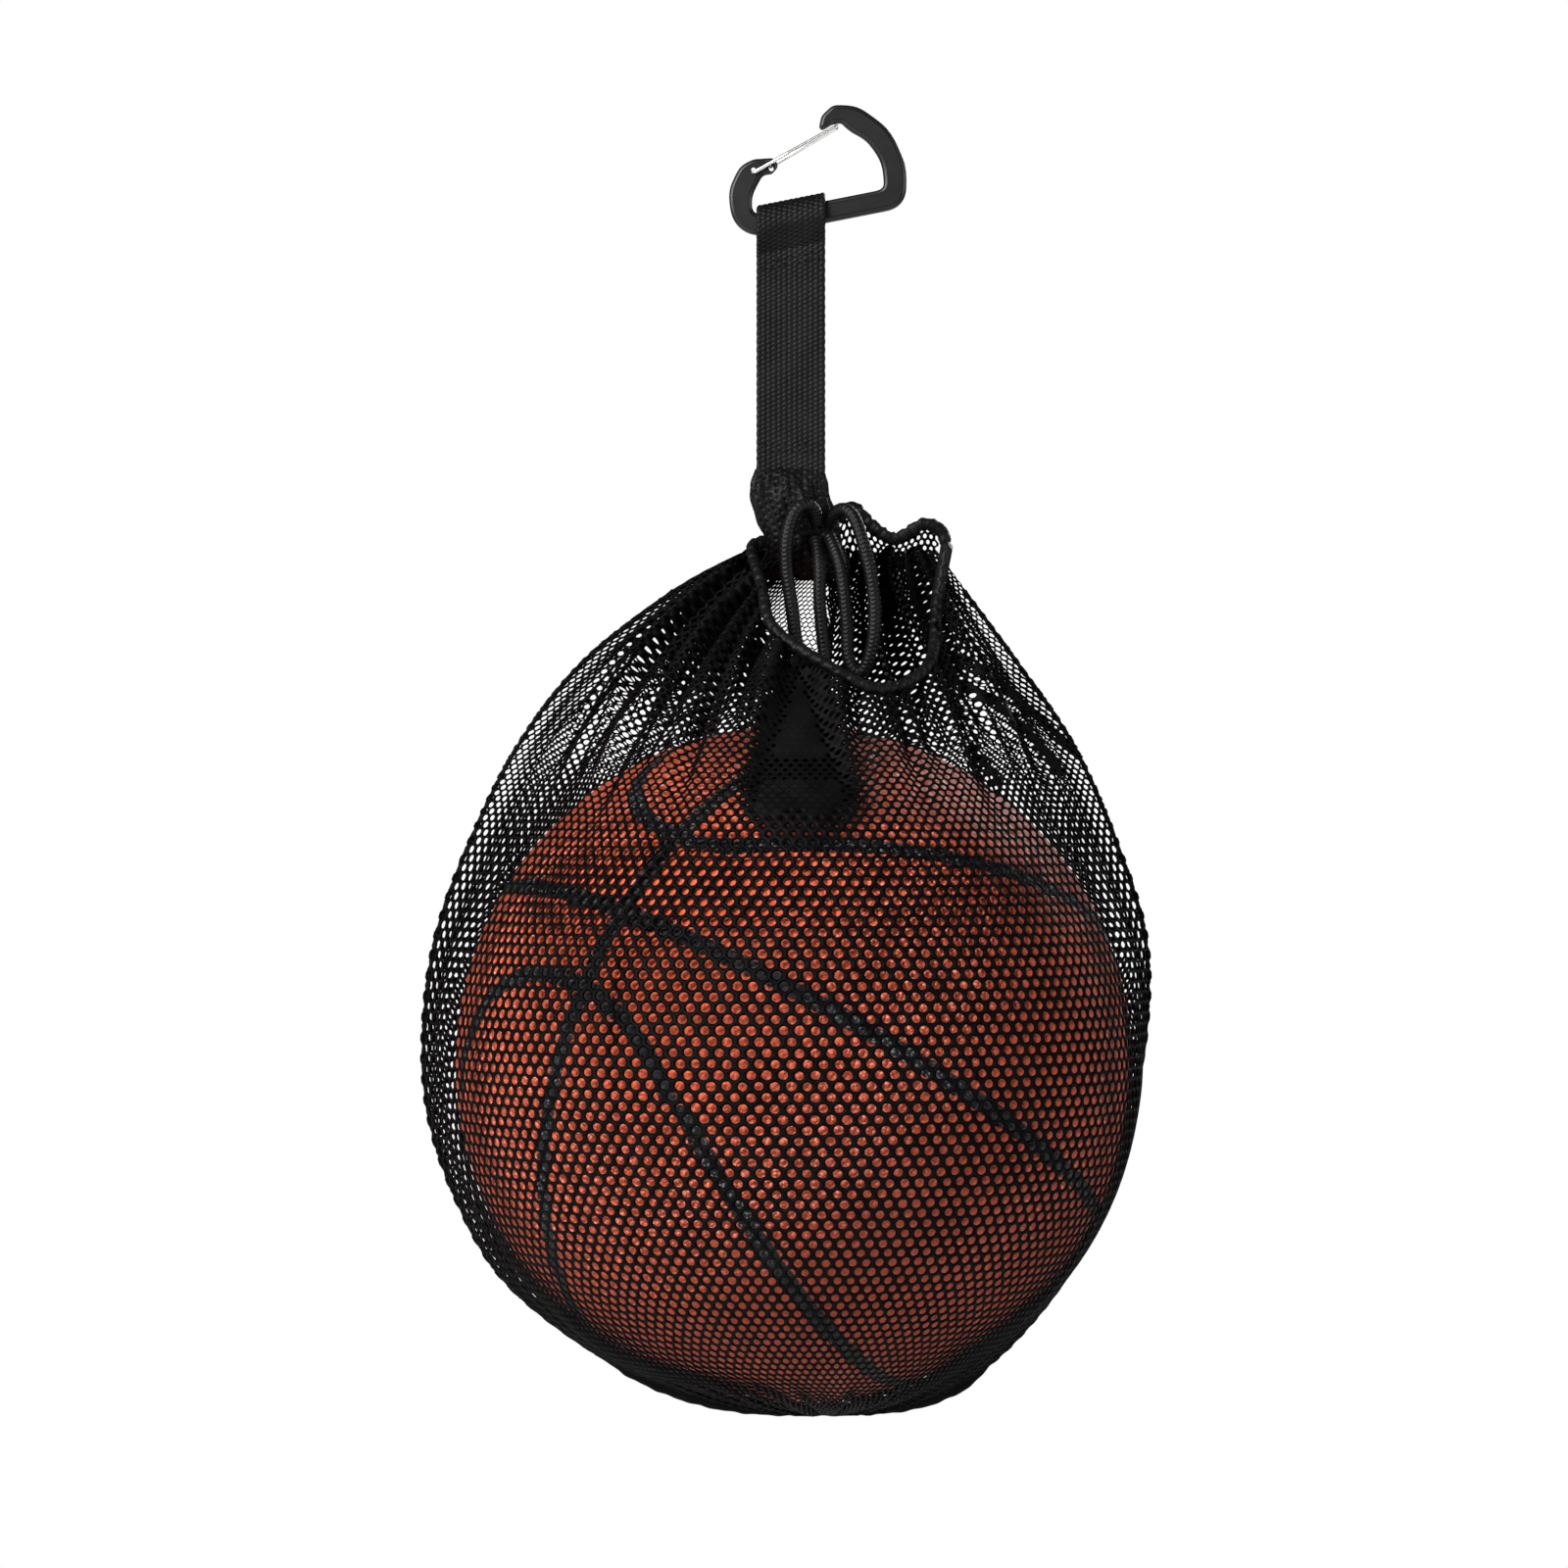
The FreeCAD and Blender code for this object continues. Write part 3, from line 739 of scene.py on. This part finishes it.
def back_openness(place, column, row):
    x, _, z = place
    share = shoulder_share(place, gather_lines(column, row, 4.0), 20, 95)
    ragged = float(gap_share(x, z)) + 0.5 * (hash_unit(column // 2, row // 2, 9) - 0.5)
    gap = float(smooth_step(0.35, 0.65, ragged))
    return max(0.0, share) * slack_share(x, z, column, row) * (1 - gap) + GAP_OPENNESS * gap


def everywhere(place):
    return True


COLUMNS = 72
BACK_COLUMNS = 75
ROWS = int(round(DOWN[-1] / ROW_PITCH))


def add_net(side, pleats, names, node, keep, openness, columns):
    surface = net_surface(side, pleats)
    for number, name in enumerate(names):
        span = (columns * number // len(names), columns * (number + 1) // len(names))
        made, cells = holed_net(name, surface, columns, ROWS, keep, openness, NET, span, flip=side > 0)
        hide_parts(node)
        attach(made, "bag")


add_net(-1, FRONT_PLEATS, ("net_front_right", "net_front_middle", "net_front_left"), "net_front_panel",
        in_front_net, front_openness, COLUMNS)
add_net(1, BACK_PLEATS, ("net_back_right", "net_back_middle", "net_back_left"), "net_back_panel",
        everywhere, back_openness, BACK_COLUMNS)

# ------------------------------------------------------------------ seams, binding and hems

def oval_sweep(name, line, half_width, half_thick, material, wide_axis, wobble=0.0, wobble_length=9.0,
               taper=0.01, sides=20, step=0.5):
    """A strip of rounded section along a line in mm; wide_axis gives its broad direction."""
    points, along = resample(np.array(line, float), step)
    _, across, normals = carried_frames(points, wide_axis)
    angles = np.linspace(0, 2 * math.pi, sides, endpoint=False)
    rings = []
    for index, place in enumerate(points):
        run = along[index]
        swell = 1 + wobble * (math.sin(run / wobble_length * 6.28) + 0.6 * math.sin(run / wobble_length * 11 + 1))
        fade = 0.25 + 0.75 * float(smooth_step(0, taper, min(run, along[-1] - run)))
        c, s = np.cos(angles), np.sin(angles)
        wide = np.sign(c) * np.abs(c) ** 0.7 * half_width * swell
        thick = np.sign(s) * np.abs(s) ** 0.7 * half_thick * (2 - swell)
        rings.append((place + (np.outer(wide, across[index]) + np.outer(thick, normals[index])) * fade) * MM)
    return capped_tube(name, rings, material)


def finish_piece(made, node, body="bag"):
    if node:
        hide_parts(node)
    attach(made, body)
    return made


def seam_line(column, inset):
    inward = 1 if column == 1 else -1
    corners = [(level[column] + inward * inset, 0.0, level[0]) for level in LEVELS[1:11]]
    return catmull(corners, 10)


for side_name, column in (("left", 1), ("right", 2)):
    made = oval_sweep("seam_" + side_name, seam_line(column, 0.9), 0.85, 0.75, TAPE, (1, 0, 0), 0.18, 5.0)
    finish_piece(made, "side_seam_" + side_name)

BINDING_LINE = [
    (-88.5, 0.0, -437.6), (-62.0, 0.0, -450.6), (-38.0, 0.0, -456.6), (-8.0, 0.0, -457.9),
    (22.0, 0.0, -456.2), (41.0, 0.0, -449.8), (55.5, 0.0, -438.4),
]
finish_piece(oval_sweep("binding", catmull(BINDING_LINE, 14), 2.1, 1.1, TAPE, (0, 0, 1), 0.07, 11.0, 16.0),
             "bottom_binding")


def front_hem_line():
    corners = [(-28.5, 0.5, -147.5), (-32.5, -7.0, -151.0)]
    for x, z in FRONT_MOUTH[1:-1]:
        corners.append((x, -depth_at(x, z) - 0.6, z + 2.0))
    corners += [(36.5, -7.0, -152.0), (36.9, -3.4, -149.6)]
    return catmull(corners, 14)


BACK_HEM = [
    (-1.8, 14.0, -139.5), (3.5, 14.5, -134.6), (11.0, 14.0, -141.5), (19.0, 13.0, -146.0),
    (29.0, 11.0, -141.0), (35.0, 3.5, -143.5), (36.6, -3.2, -147.8),
]
finish_piece(oval_sweep("hem_front", front_hem_line(), 2.15, 1.9, KNIT, (0, 0, 1), 0.11, 4.2),
             "hem_channel_front")
finish_piece(oval_sweep("hem_back", catmull(BACK_HEM, 14), 2.2, 2.0, KNIT, (0, 0, 1), 0.11, 4.2),
             "hem_channel_back")
finish_piece(braided_cord("drawcord_in_front_hem", front_hem_line() * MM, 0.0034, CORD),
             "drawcord_front_run")
finish_piece(braided_cord("drawcord_in_back_hem", catmull(BACK_HEM, 14) * MM, 0.0034, CORD),
             "drawcord_back_run")

# ------------------------------------------------------------------ ruffle and neck

def ruffle_surface(across, down):
    """Gathered net that rises from the neck to the back hem."""
    line = catmull(BACK_HEM, 14)
    x = -4.0 + 38.0 * across
    top = np.interp(x, line[:, 0], line[:, 2])
    back = np.interp(x, line[:, 0], line[:, 1])
    z = top + (-158.0 - top) * down
    y = back + (15.0 - back) * down * 0.6 + 1.1 * np.sin(across * 34 + down * 3) * smooth_step(0, 0.3, down)
    return np.stack([x, y, z], axis=-1)


ruffle, _ = holed_net("neck_ruffle", ruffle_surface, 17, 8, everywhere, lambda place, c, r: 0.9, NET, flip=True)
finish_piece(ruffle, "ruffle_back")

STRAP_X = -18.55
STRAP_FOOT_Z = -124.0
# Height, left edge, right edge, half depth and how far back each level of the bunch lies
NECK_LEVELS = np.array([
    (-121.6, -31.2, -6.3, 2.5, 0.0), (-124.0, -32.2, -6.2, 4.4, 0.0), (-128.0, -33.2, -5.8, 6.6, 0.6),
    (-133.5, -33.0, -4.6, 8.4, 1.6), (-139.5, -30.8, -2.6, 8.8, 3.0), (-145.5, -28.4, -1.0, 8.4, 4.6),
    (-151.0, -29.5, 0.5, 8.0, 6.4), (-156.0, -31.0, 2.0, 6.0, 8.6), (-160.0, -31.0, 2.0, 2.6, 10.0),
])
KNIT_PITCH = 2.1


def neck_bunch():
    """Net gathered in folds round the strap's foot, with its cells drawn up tight."""
    levels = catmull(NECK_LEVELS, 18)
    around = np.linspace(0, 2 * math.pi, 264, endpoint=False)
    rings = []
    for z, left, right, half_depth, shift in levels:
        centre, half_width = (left + right) / 2, (right - left) / 2
        folds = (0.95 * np.sin(5 * around + 0.22 * z + 1.3 * math.sin(0.21 * z))
                 + 0.6 * np.sin(9 * around - 0.31 * z + 2) + 0.35 * np.sin(17 * around + 0.45 * z))
        run = around * 11.5 / KNIT_PITCH * 2 * math.pi
        rise = z * 0.87 / KNIT_PITCH * 2 * math.pi
        cells = (np.cos(run) + np.cos(0.5 * run + rise) + np.cos(0.5 * run - rise)) / 3
        settle = float(smooth_step(-121.6, -127, z))
        grow = folds * 0.8 * settle - 0.75 * np.clip(cells, 0, 1)
        tilt = settle * (0.9 * np.sin(3 * around + 1) + 0.5 * np.sin(7 * around))
        rings.append(np.stack([centre + (half_width + grow * 0.8) * np.cos(around),
                               shift + (half_depth + grow) * np.sin(around),
                               z + tilt], axis=-1) * MM)
    return capped_tube("neck_bunch", rings, KNIT)


finish_piece(neck_bunch(), "neck_gather")

# ------------------------------------------------------------------ strap

WEBBING_WIDTH = 24.5
WEBBING_THICK = 2.2
PLY_GAP = 0.2
BAR_TILT = math.radians(11.2)
BAR_CENTRE_Z = -32.4
LOOP_INNER_RADIUS = 5.0
LOOP_CLOSE_DEPTH = 10.3
WEAVE_ACROSS = 1.88
WEAVE_ALONG = 1.65
WEAVE_RELIEF = 0.5


def weave_height(across, along):
    """Raised yarns of a coarse weave: short floats set half a step apart in each column."""
    column = np.floor(across / WEAVE_ACROSS)
    in_column = np.sin(math.pi * (across / WEAVE_ACROSS - column))
    shifted = along / WEAVE_ALONG + 0.5 * (column % 2)
    in_float = np.abs(np.sin(math.pi * shifted))
    return WEAVE_RELIEF * (0.1 + 0.9 * in_float ** 0.7) * (0.45 + 0.55 * in_column ** 0.5)


def webbing_band(name, middle_line, outward, top_slope, material=None):
    """A woven band whose middle follows a line in the depth plane; outward is its face's normal."""
    points = np.array(middle_line, float)
    gaps = np.linalg.norm(np.diff(points, axis=0), axis=1)
    along = np.concatenate([[0], np.cumsum(gaps)])
    step = 0.24
    wanted = np.arange(0, along[-1] + step / 2, step)
    line = np.stack([np.interp(wanted, along, points[:, axis]) for axis in (0, 1)], axis=1)
    faces_out = np.stack([np.interp(wanted, along, np.array(outward)[:, axis]) for axis in (0, 1)], axis=1)
    faces_out = unit(faces_out)
    half = WEBBING_WIDTH / 2
    spread = np.arange(-half, half + 0.01, 0.25)
    loop = []
    for value in spread:
        loop.append((value, 1.0))
    for value in spread[::-1]:
        loop.append((value, -1.0))
    loop = np.array(loop)
    rounding = np.sqrt(np.clip(1 - np.clip((np.abs(loop[:, 0]) - half + 0.8) / 0.8, 0, 1) ** 2, 0.12, 1))
    rings = []
    for index in range(len(line)):
        y, z = line[index]
        relief = weave_height(loop[:, 0] + half, wanted[index] + 0 * loop[:, 0])
        thick = (WEBBING_THICK / 2 - WEAVE_RELIEF + relief) * rounding * loop[:, 1]
        x = STRAP_X + loop[:, 0] * (1 + 0.006 * math.sin(wanted[index] * 2.1))
        rise = (x - STRAP_X) * math.tan(BAR_TILT) * top_slope[index * (len(top_slope) - 1) // max(1, len(line) - 1)]
        ring = np.stack([x, y + faces_out[index][0] * thick, z + rise + faces_out[index][1] * thick], axis=-1)
        rings.append(ring * MM)
    return capped_tube(name, rings, material or WEBBING)


def loop_line():
    """Up the front, over the bar and down the back, as a line in the depth plane."""
    radius = LOOP_INNER_RADIUS + WEBBING_THICK / 2
    foot_y = PLY_GAP / 2 + WEBBING_THICK / 2
    distance = math.hypot(foot_y, LOOP_CLOSE_DEPTH)
    to_foot = math.atan2(-LOOP_CLOSE_DEPTH, -foot_y)
    start = to_foot - math.acos(radius / distance)
    finish = -3 * math.pi - start
    points, outward = [], []
    steps = 40
    touch = (radius * math.cos(start), radius * math.sin(start))
    for number in range(8):
        t = number / 8
        points.append((-foot_y + (touch[0] + foot_y) * t, -LOOP_CLOSE_DEPTH + (touch[1] + LOOP_CLOSE_DEPTH) * t))
        outward.append((math.cos(start), math.sin(start)))
    for number in range(steps + 1):
        angle = start + (finish - start) * number / steps
        points.append((radius * math.cos(angle), radius * math.sin(angle)))
        outward.append((math.cos(angle), math.sin(angle)))
    for number in range(1, 9):
        t = number / 8
        points.append((-touch[0] + (foot_y + touch[0]) * t, touch[1] + (-LOOP_CLOSE_DEPTH - touch[1]) * t))
        outward.append((math.cos(finish), math.sin(finish)))
    points = [(y, BAR_CENTRE_Z + z) for y, z in points]
    return points, outward


loop_points, loop_outward = loop_line()
loop_piece = webbing_band("webbing_loop", loop_points, loop_outward, [1.0, 1.0])
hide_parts("strap_loop")
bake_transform(loop_piece)

PLY_TOP = BAR_CENTRE_Z - LOOP_CLOSE_DEPTH + 0.15


def ply(side, name, node):
    y = side * (PLY_GAP / 2 + WEBBING_THICK / 2)
    steps = 200
    points = [(y, PLY_TOP + (STRAP_FOOT_Z + 0.4 - PLY_TOP) * number / steps) for number in range(steps + 1)]
    outward = [(side, 0.0)] * (steps + 1)
    slope = [max(0.0, 1 - number / 60) for number in range(steps + 1)]
    made = webbing_band(name, points, outward, slope)
    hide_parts(node)
    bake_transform(made)


ply(-1, "webbing_front", "strap_front_ply")
ply(1, "webbing_back", "strap_back_ply")


def stitch_rows(name, heights, tilt, node, blended):
    """Rows of short raised stitches on both faces of the strap."""
    count, margin, fill = 9, 1.5, 0.78
    pitch = (WEBBING_WIDTH - 2 * margin) / count
    verts, faces = [], []
    for side in (-1, 1):
        face_y = side * (PLY_GAP / 2 + WEBBING_THICK)
        for height in heights:
            for number in range(count):
                x0 = STRAP_X - WEBBING_WIDTH / 2 + margin + pitch * (number + (1 - fill) / 2)
                base = len(verts)
                rings, sides = 9, 8
                for ring in range(rings):
                    t = ring / (rings - 1)
                    radius = 0.42 * math.sin(math.pi * min(max(t, 0.06), 0.94)) ** 0.5
                    for corner in range(sides):
                        angle = 2 * math.pi * corner / sides
                        x = x0 + pitch * fill * t
                        z = height + (x - STRAP_X) * math.tan(tilt) + radius * math.cos(angle)
                        y = face_y + radius * math.sin(angle) * 0.9 - side * 0.1
                        verts.append((x * MM, y * MM, z * MM))
                for ring in range(rings - 1):
                    for corner in range(sides):
                        after = (corner + 1) % sides
                        faces.append((base + ring * sides + corner, base + ring * sides + after,
                                      base + (ring + 1) * sides + after, base + (ring + 1) * sides + corner))
                faces.append(tuple(base + corner for corner in reversed(range(sides))))
                faces.append(tuple(base + (rings - 1) * sides + corner for corner in range(sides)))
    made = new_object(name, verts, faces, THREAD)
    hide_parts(node)
    if blended:
        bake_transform(made)
    else:
        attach(made, "strap")


HEAD_ROW = BAR_CENTRE_Z - LOOP_CLOSE_DEPTH - 3.5
stitch_rows("stitches_head", [HEAD_ROW, HEAD_ROW - 2.4], BAR_TILT, "strap_head_stitching", False)
stitch_rows("stitches_foot", [-113.0, -115.4], 0.0, "strap_foot_stitching", True)

BODY_DEPTH = 6.4
BODY_EDGE = 1.5             # radius of the forging's edges
NOSE = (-5.0, 3.0)
HOOK = (-27.0, -14.0)
PIVOTS = ((-31.6, -16.1), (-25.8, -13.3))
PIVOT_RADIUS = 0.84
PIVOT_FLARE = 0.1
GATE_OPEN = math.radians(28)
# Corners of the body in elevation, each with its rounding radius, from the nose outwards and round
BODY_OUTLINE = [
    (-9.0, -1.9, 1.15), (-7.7, 4.2, 4.0), (-3.5, 8.2, 4.0), (5.25, 7.9, 12.0),
    (17.15, -0.7, 20.0), (22.75, -13.65, 16.0), (22.75, -28.1, 7.7), (-38.85, -40.25, 10.5),
    (-41.0, -22.4, 12.0), (-36.75, -13.65, 5.0), (-31.85, -11.2, 5.0), (-24.85, -10.85, 1.6),
    (-22.75, -13.3, 1.4), (-25.2, -16.1, 1.4), (-28.7, -16.8, 3.0), (-32.55, -24.15, 8.0),
    (-32.2, -31.25, 1.5), (14.9, -21.95, 1.5), (14.0, -11.9, 14.0), (8.4, -4.2, 10.0),
    (2.45, -1.05, 3.0), (-0.5, 1.9, 1.3), (-3.85, 1.4, 3.0),
]


def rounded_outline(step=0.3):
    """The outline with its corners rounded by arcs, at even steps, as a closed line."""
    corners = np.array([corner[:2] for corner in BODY_OUTLINE])
    line = []
    for index, (x, z, radius) in enumerate(BODY_OUTLINE):
        corner = np.array([x, z])
        before = corners[index - 1] - corner
        after = corners[(index + 1) % len(corners)] - corner
        before, after = before / np.linalg.norm(before), after / np.linalg.norm(after)
        half = math.acos(np.clip(before.dot(after), -1, 1)) / 2
        reach = radius / math.tan(half)
        middle = (before + after) / np.linalg.norm(before + after)
        centre = corner + middle * radius / math.sin(half)
        start = corner + before * reach - centre
        finish = corner + after * reach - centre
        swing = math.atan2(start[0] * finish[1] - start[1] * finish[0], start.dot(finish))
        for number in range(13):
            turn = swing * number / 12
            c, n = math.cos(turn), math.sin(turn)
            line.append(centre + np.array([start[0] * c - start[1] * n, start[0] * n + start[1] * c]))
    line = np.array(line + [line[0]])
    line = np.stack([line[:, 0], np.zeros(len(line)), line[:, 1]], axis=1)
    return resample(line, step)[0][:-1][:, [0, 2]]


def eased_outline():
    """The same outline with the forging's soft flow, except round the nose and the hooked end."""
    line = rounded_outline()
    kernel = np.exp(-0.5 * (np.arange(-14, 15) / 5.0) ** 2)
    kernel = kernel / kernel.sum()
    padded = np.concatenate([line[-14:], line, line[:14]])
    soft = np.stack([np.convolve(padded[:, axis], kernel, "valid") for axis in (0, 1)], axis=1)
    near = np.minimum(np.linalg.norm(line - NOSE, axis=1), np.linalg.norm(line - HOOK, axis=1))
    share = smooth_step(4, 9, near)[:, None] * 0.85 + 0.15
    return line * (1 - share) + soft * share


def wall_rings(outline, edge, outward):
    """Rings from the front face to the back round an outline, with rounded edges."""
    ahead = np.roll(outline, -2, axis=0) - np.roll(outline, 2, axis=0)
    normals = unit(np.stack([ahead[:, 1], -ahead[:, 0]], axis=1)) * outward
    rings = []
    turns = [math.pi / 2 * number / 6 for number in range(7)]
    half = BODY_DEPTH / 2
    stations = [(edge * (1 - math.sin(turn)), edge * (1 - math.cos(turn)) - half) for turn in turns]
    stations += [(inset, -y) for inset, y in reversed(stations)]
    for inset, y in stations:
        flat = outline - normals * inset[:, None]
        rings.append(np.stack([flat[:, 0], y, flat[:, 1]], axis=1))
    return rings


def slot_ends(pivot):
    """Where a wire end sits with the gate closed and with it open."""
    closed = np.array(pivot)
    centre = np.mean(PIVOTS, axis=0)
    x, z = closed - centre
    opened = centre + np.array([x * math.cos(GATE_OPEN) + z * math.sin(GATE_OPEN),
                                z * math.cos(GATE_OPEN) - x * math.sin(GATE_OPEN)])
    return closed, opened


def local_edges(outline):
    """Radius of the forging's edge along its outline: sharper where a pivot hole lies close."""
    near = np.full(len(outline), 99.0)
    for pivot in PIVOTS:
        for end in slot_ends(pivot):
            near = np.minimum(near, np.linalg.norm(outline - end, axis=1))
    return 0.12 + (BODY_EDGE - 0.12) * smooth_step(1.0, 3.2, near)


def pivot_slot(pivot):
    """The oblong hole in which a sprung wire end rocks as the gate opens."""
    closed, opened = slot_ends(pivot)
    heading = math.atan2(opened[1] - closed[1], opened[0] - closed[0])
    ring = []
    for number in range(32):
        angle = heading + math.pi / 2 + 2 * math.pi * (number + 0.5) / 32
        end = closed if number < 16 else opened
        ring.append(end + PIVOT_RADIUS * np.array([math.cos(angle), math.sin(angle)]))
    return np.array(ring)


def forged_body():
    outline = eased_outline()
    area = 0.5 * np.sum(outline[:, 0] * np.roll(outline[:, 1], -1) - np.roll(outline[:, 0], -1) * outline[:, 1])
    if area < 0:
        outline = outline[::-1]
    walls = [wall_rings(outline, local_edges(outline), 1)]
    for pivot in PIVOTS:
        slot = pivot_slot(pivot)
        walls.append(wall_rings(slot, np.full(len(slot), PIVOT_FLARE), -1))
    verts, faces, flat_from = [], [], 0
    starts = []
    for number, rings in enumerate(walls):
        start = len(verts)
        starts.append(start)
        count = len(rings[0])
        for ring in rings:
            verts += list(ring)
        for row, column, next_row, after in [(r, c, r + 1, (c + 1) % count)
                                             for r in range(len(rings) - 1) for c in range(count)]:
            face = (start + row * count + column, start + row * count + after,
                    start + next_row * count + after, start + next_row * count + column)
            faces.append(face if number == 0 else face[::-1])
    flat_from = len(faces)
    for last, facing in ((0, 1), (len(walls[0]) - 1, -1)):
        loops, numbers = [], []
        for start, rings in zip(starts, walls):
            count = len(rings[0])
            loops.append([Vector((place[0], place[2], 0)) for place in rings[last]])
            numbers += [start + last * count + column for column in range(count)]
        for triangle in tessellate_polygon(loops):
            face = tuple(numbers[corner] for corner in triangle)
            normal = np.cross(np.array(verts[face[1]]) - verts[face[0]], np.array(verts[face[2]]) - verts[face[0]])
            faces.append(face if normal[1] * facing < 0 else face[::-1])
    made = new_object("carabiner_forging", np.array(verts) * MM, faces, COAT)
    for polygon in made.data.polygons[flat_from:]:
        polygon.use_smooth = False
    finish_piece(made, "carabiner_body", "carabiner")


forged_body()

WIRE_RADIUS = 0.7
WIRE_REACH = 1.3            # how near its corners the wire starts to bend
GATE_TIP = (-2.3, 0.35)
LEG_SIDE = BODY_DEPTH / 2 + WIRE_RADIUS + 0.3
PAST_HOOK = -20.0


def on_leg(pivot, x, y):
    rise = (GATE_TIP[1] - pivot[1]) / (GATE_TIP[0] - pivot[0])
    return (x, y, pivot[1] + (x - pivot[0]) * rise)


def wire_gate():
    """One sprung wire: a pin, a leg, the closed tip, the other leg and its pin."""
    front, back = PIVOTS
    corners = np.array([
        (front[0], -0.8, front[1]), (front[0], -LEG_SIDE, front[1]), on_leg(front, PAST_HOOK, -LEG_SIDE),
        (GATE_TIP[0], -2.6, GATE_TIP[1]), (GATE_TIP[0], 2.6, GATE_TIP[1]),
        on_leg(back, PAST_HOOK, LEG_SIDE), (back[0], LEG_SIDE, back[1]), (back[0], -1.6, back[1]),
    ])
    route = [corners[0]]
    for before, corner, after in zip(corners, corners[1:], corners[2:]):
        route += [corner + unit(before - corner) * WIRE_REACH, corner, corner + unit(after - corner) * WIRE_REACH]
    route.append(corners[-1])
    points, _ = resample(nurbs_line(route), 0.0002)
    _, sides, normals = carried_frames(points, (0, 0, 1))
    angles = np.linspace(0, 2 * math.pi, 24, endpoint=False)
    radius = WIRE_RADIUS * MM
    rings = [place + radius * (np.outer(np.cos(angles), side) + np.outer(np.sin(angles), normal))
             for place, side, normal in zip(points, sides, normals)]
    finish_piece(capped_tube("gate_wire", rings, WIRE), "carabiner_gate", "gate")


wire_gate()

# ------------------------------------------------------------------ stage

def ball_material():
    material, tree, shader = node_material("ball_rubber")
    coords = add_node(tree, "ShaderNodeTexCoord")
    parts = add_node(tree, "ShaderNodeSeparateXYZ")
    tree.links.new(coords.outputs["Object"], parts.inputs["Vector"])

    def circle(normal, offset):
        dot = add_node(tree, "ShaderNodeVectorMath", operation="DOT_PRODUCT")
        tree.links.new(coords.outputs["Object"], dot.inputs[0])
        dot.inputs[1].default_value = normal
        away = add_node(tree, "ShaderNodeMath", operation="SUBTRACT")
        tree.links.new(dot.outputs["Value"], away.inputs[0])
        away.inputs[1].default_value = offset
        near = add_node(tree, "ShaderNodeMath", operation="ABSOLUTE")
        tree.links.new(away.outputs["Value"], near.inputs[0])
        true_width = add_node(tree, "ShaderNodeMath", operation="DIVIDE")
        tree.links.new(near.outputs["Value"], true_width.inputs[0])
        true_width.inputs[1].default_value = math.sqrt(1 - offset * offset)
        return true_width.outputs["Value"]

    def joined(axis, split, below, above):
        side = add_node(tree, "ShaderNodeMath", operation="GREATER_THAN")
        tree.links.new(parts.outputs[axis], side.inputs[0])
        side.inputs[1].default_value = split
        mix = add_node(tree, "ShaderNodeMix")
        tree.links.new(side.outputs["Value"], mix.inputs[0])
        tree.links.new(below, mix.inputs[2])
        tree.links.new(above, mix.inputs[3])
        return mix.outputs[0]

    seams = [joined("X", -0.181, circle((-0.057, -0.433, 0.900), 0.913), circle((-0.020, 0.403, 0.915), 0.295)),
             circle((0.476, 0.204, 0.855), 0.016), circle((-0.735, 0.606, 0.306), 0.054),
             joined("Z", -0.072, circle((-0.859, 0.186, -0.477), 0.138), circle((-0.731, -0.649, -0.211), 0.876))]
    nearest = seams[0]
    for seam in seams[1:]:
        least = add_node(tree, "ShaderNodeMath", operation="MINIMUM")
        tree.links.new(nearest, least.inputs[0])
        tree.links.new(seam, least.inputs[1])
        nearest = least.outputs["Value"]
    groove = add_node(tree, "ShaderNodeMapRange")
    groove.inputs["From Min"].default_value = 0.022
    groove.inputs["From Max"].default_value = 0.027
    tree.links.new(nearest, groove.inputs["Value"])
    tint = ramp(tree, groove.outputs["Result"], (0.012, 0.013, 0.015), (0.55, 0.082, 0.031), 0.0, 1.0)
    tree.links.new(tint.outputs["Color"], shader.inputs["Base Color"])
    pebbles = add_node(tree, "ShaderNodeTexVoronoi")
    pebbles.inputs["Scale"].default_value = 62.0
    tree.links.new(coords.outputs["Object"], pebbles.inputs["Vector"])
    shader.inputs["Roughness"].default_value = 0.42
    lumps = bump(tree, shader, pebbles.outputs["Distance"], 0.5, -0.02)
    bump(tree, shader, groove.outputs["Result"], 0.6, 0.02, lumps)
    return material


def add_ball():
    """The ball that fills the bag is another object, shown only so that the net hangs on something."""
    bpy.ops.mesh.primitive_uv_sphere_add(segments=128, ring_count=64, radius=1.0)
    ball = bpy.context.object
    ball.name = "stage_ball"
    ball.data.polygons.foreach_set("use_smooth", [True] * len(ball.data.polygons))
    ball.data.materials.append(ball_material())
    radius = BALL_RADIUS * MM * 0.993
    ball.scale = (radius, radius, radius)
    ball.location = Vector(BALL_CENTRE) * MM
    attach(ball, "bag")


FLOOR_RADIUS = 1.5


def add_floor():
    rings, around = 6, 96
    verts = [(0, 0, 0)]
    for ring in range(1, rings + 1):
        for step in range(around):
            angle = 2 * math.pi * step / around
            radius = FLOOR_RADIUS * ring / rings
            verts.append((radius * math.cos(angle), radius * math.sin(angle), 0))
    faces = [(0, 1 + step, 1 + (step + 1) % around) for step in range(around)]
    for ring in range(rings - 1):
        start = 1 + ring * around
        for step in range(around):
            after = (step + 1) % around
            faces.append((start + step, start + around + step, start + around + after, start + after))
    material, tree, shader = node_material("pale_floor")
    mottle = noise(tree, 6.0)
    tint = ramp(tree, mottle.outputs["Fac"], (0.80, 0.80, 0.80), (0.84, 0.84, 0.84))
    tree.links.new(tint.outputs["Color"], shader.inputs["Base Color"])
    shader.inputs["Roughness"].default_value = 0.8
    floor = new_object("stage_floor", verts, faces, material)
    floor.location = (-0.02, 0, -0.75)


add_ball()
add_floor()

bpy.context.view_layer.update()
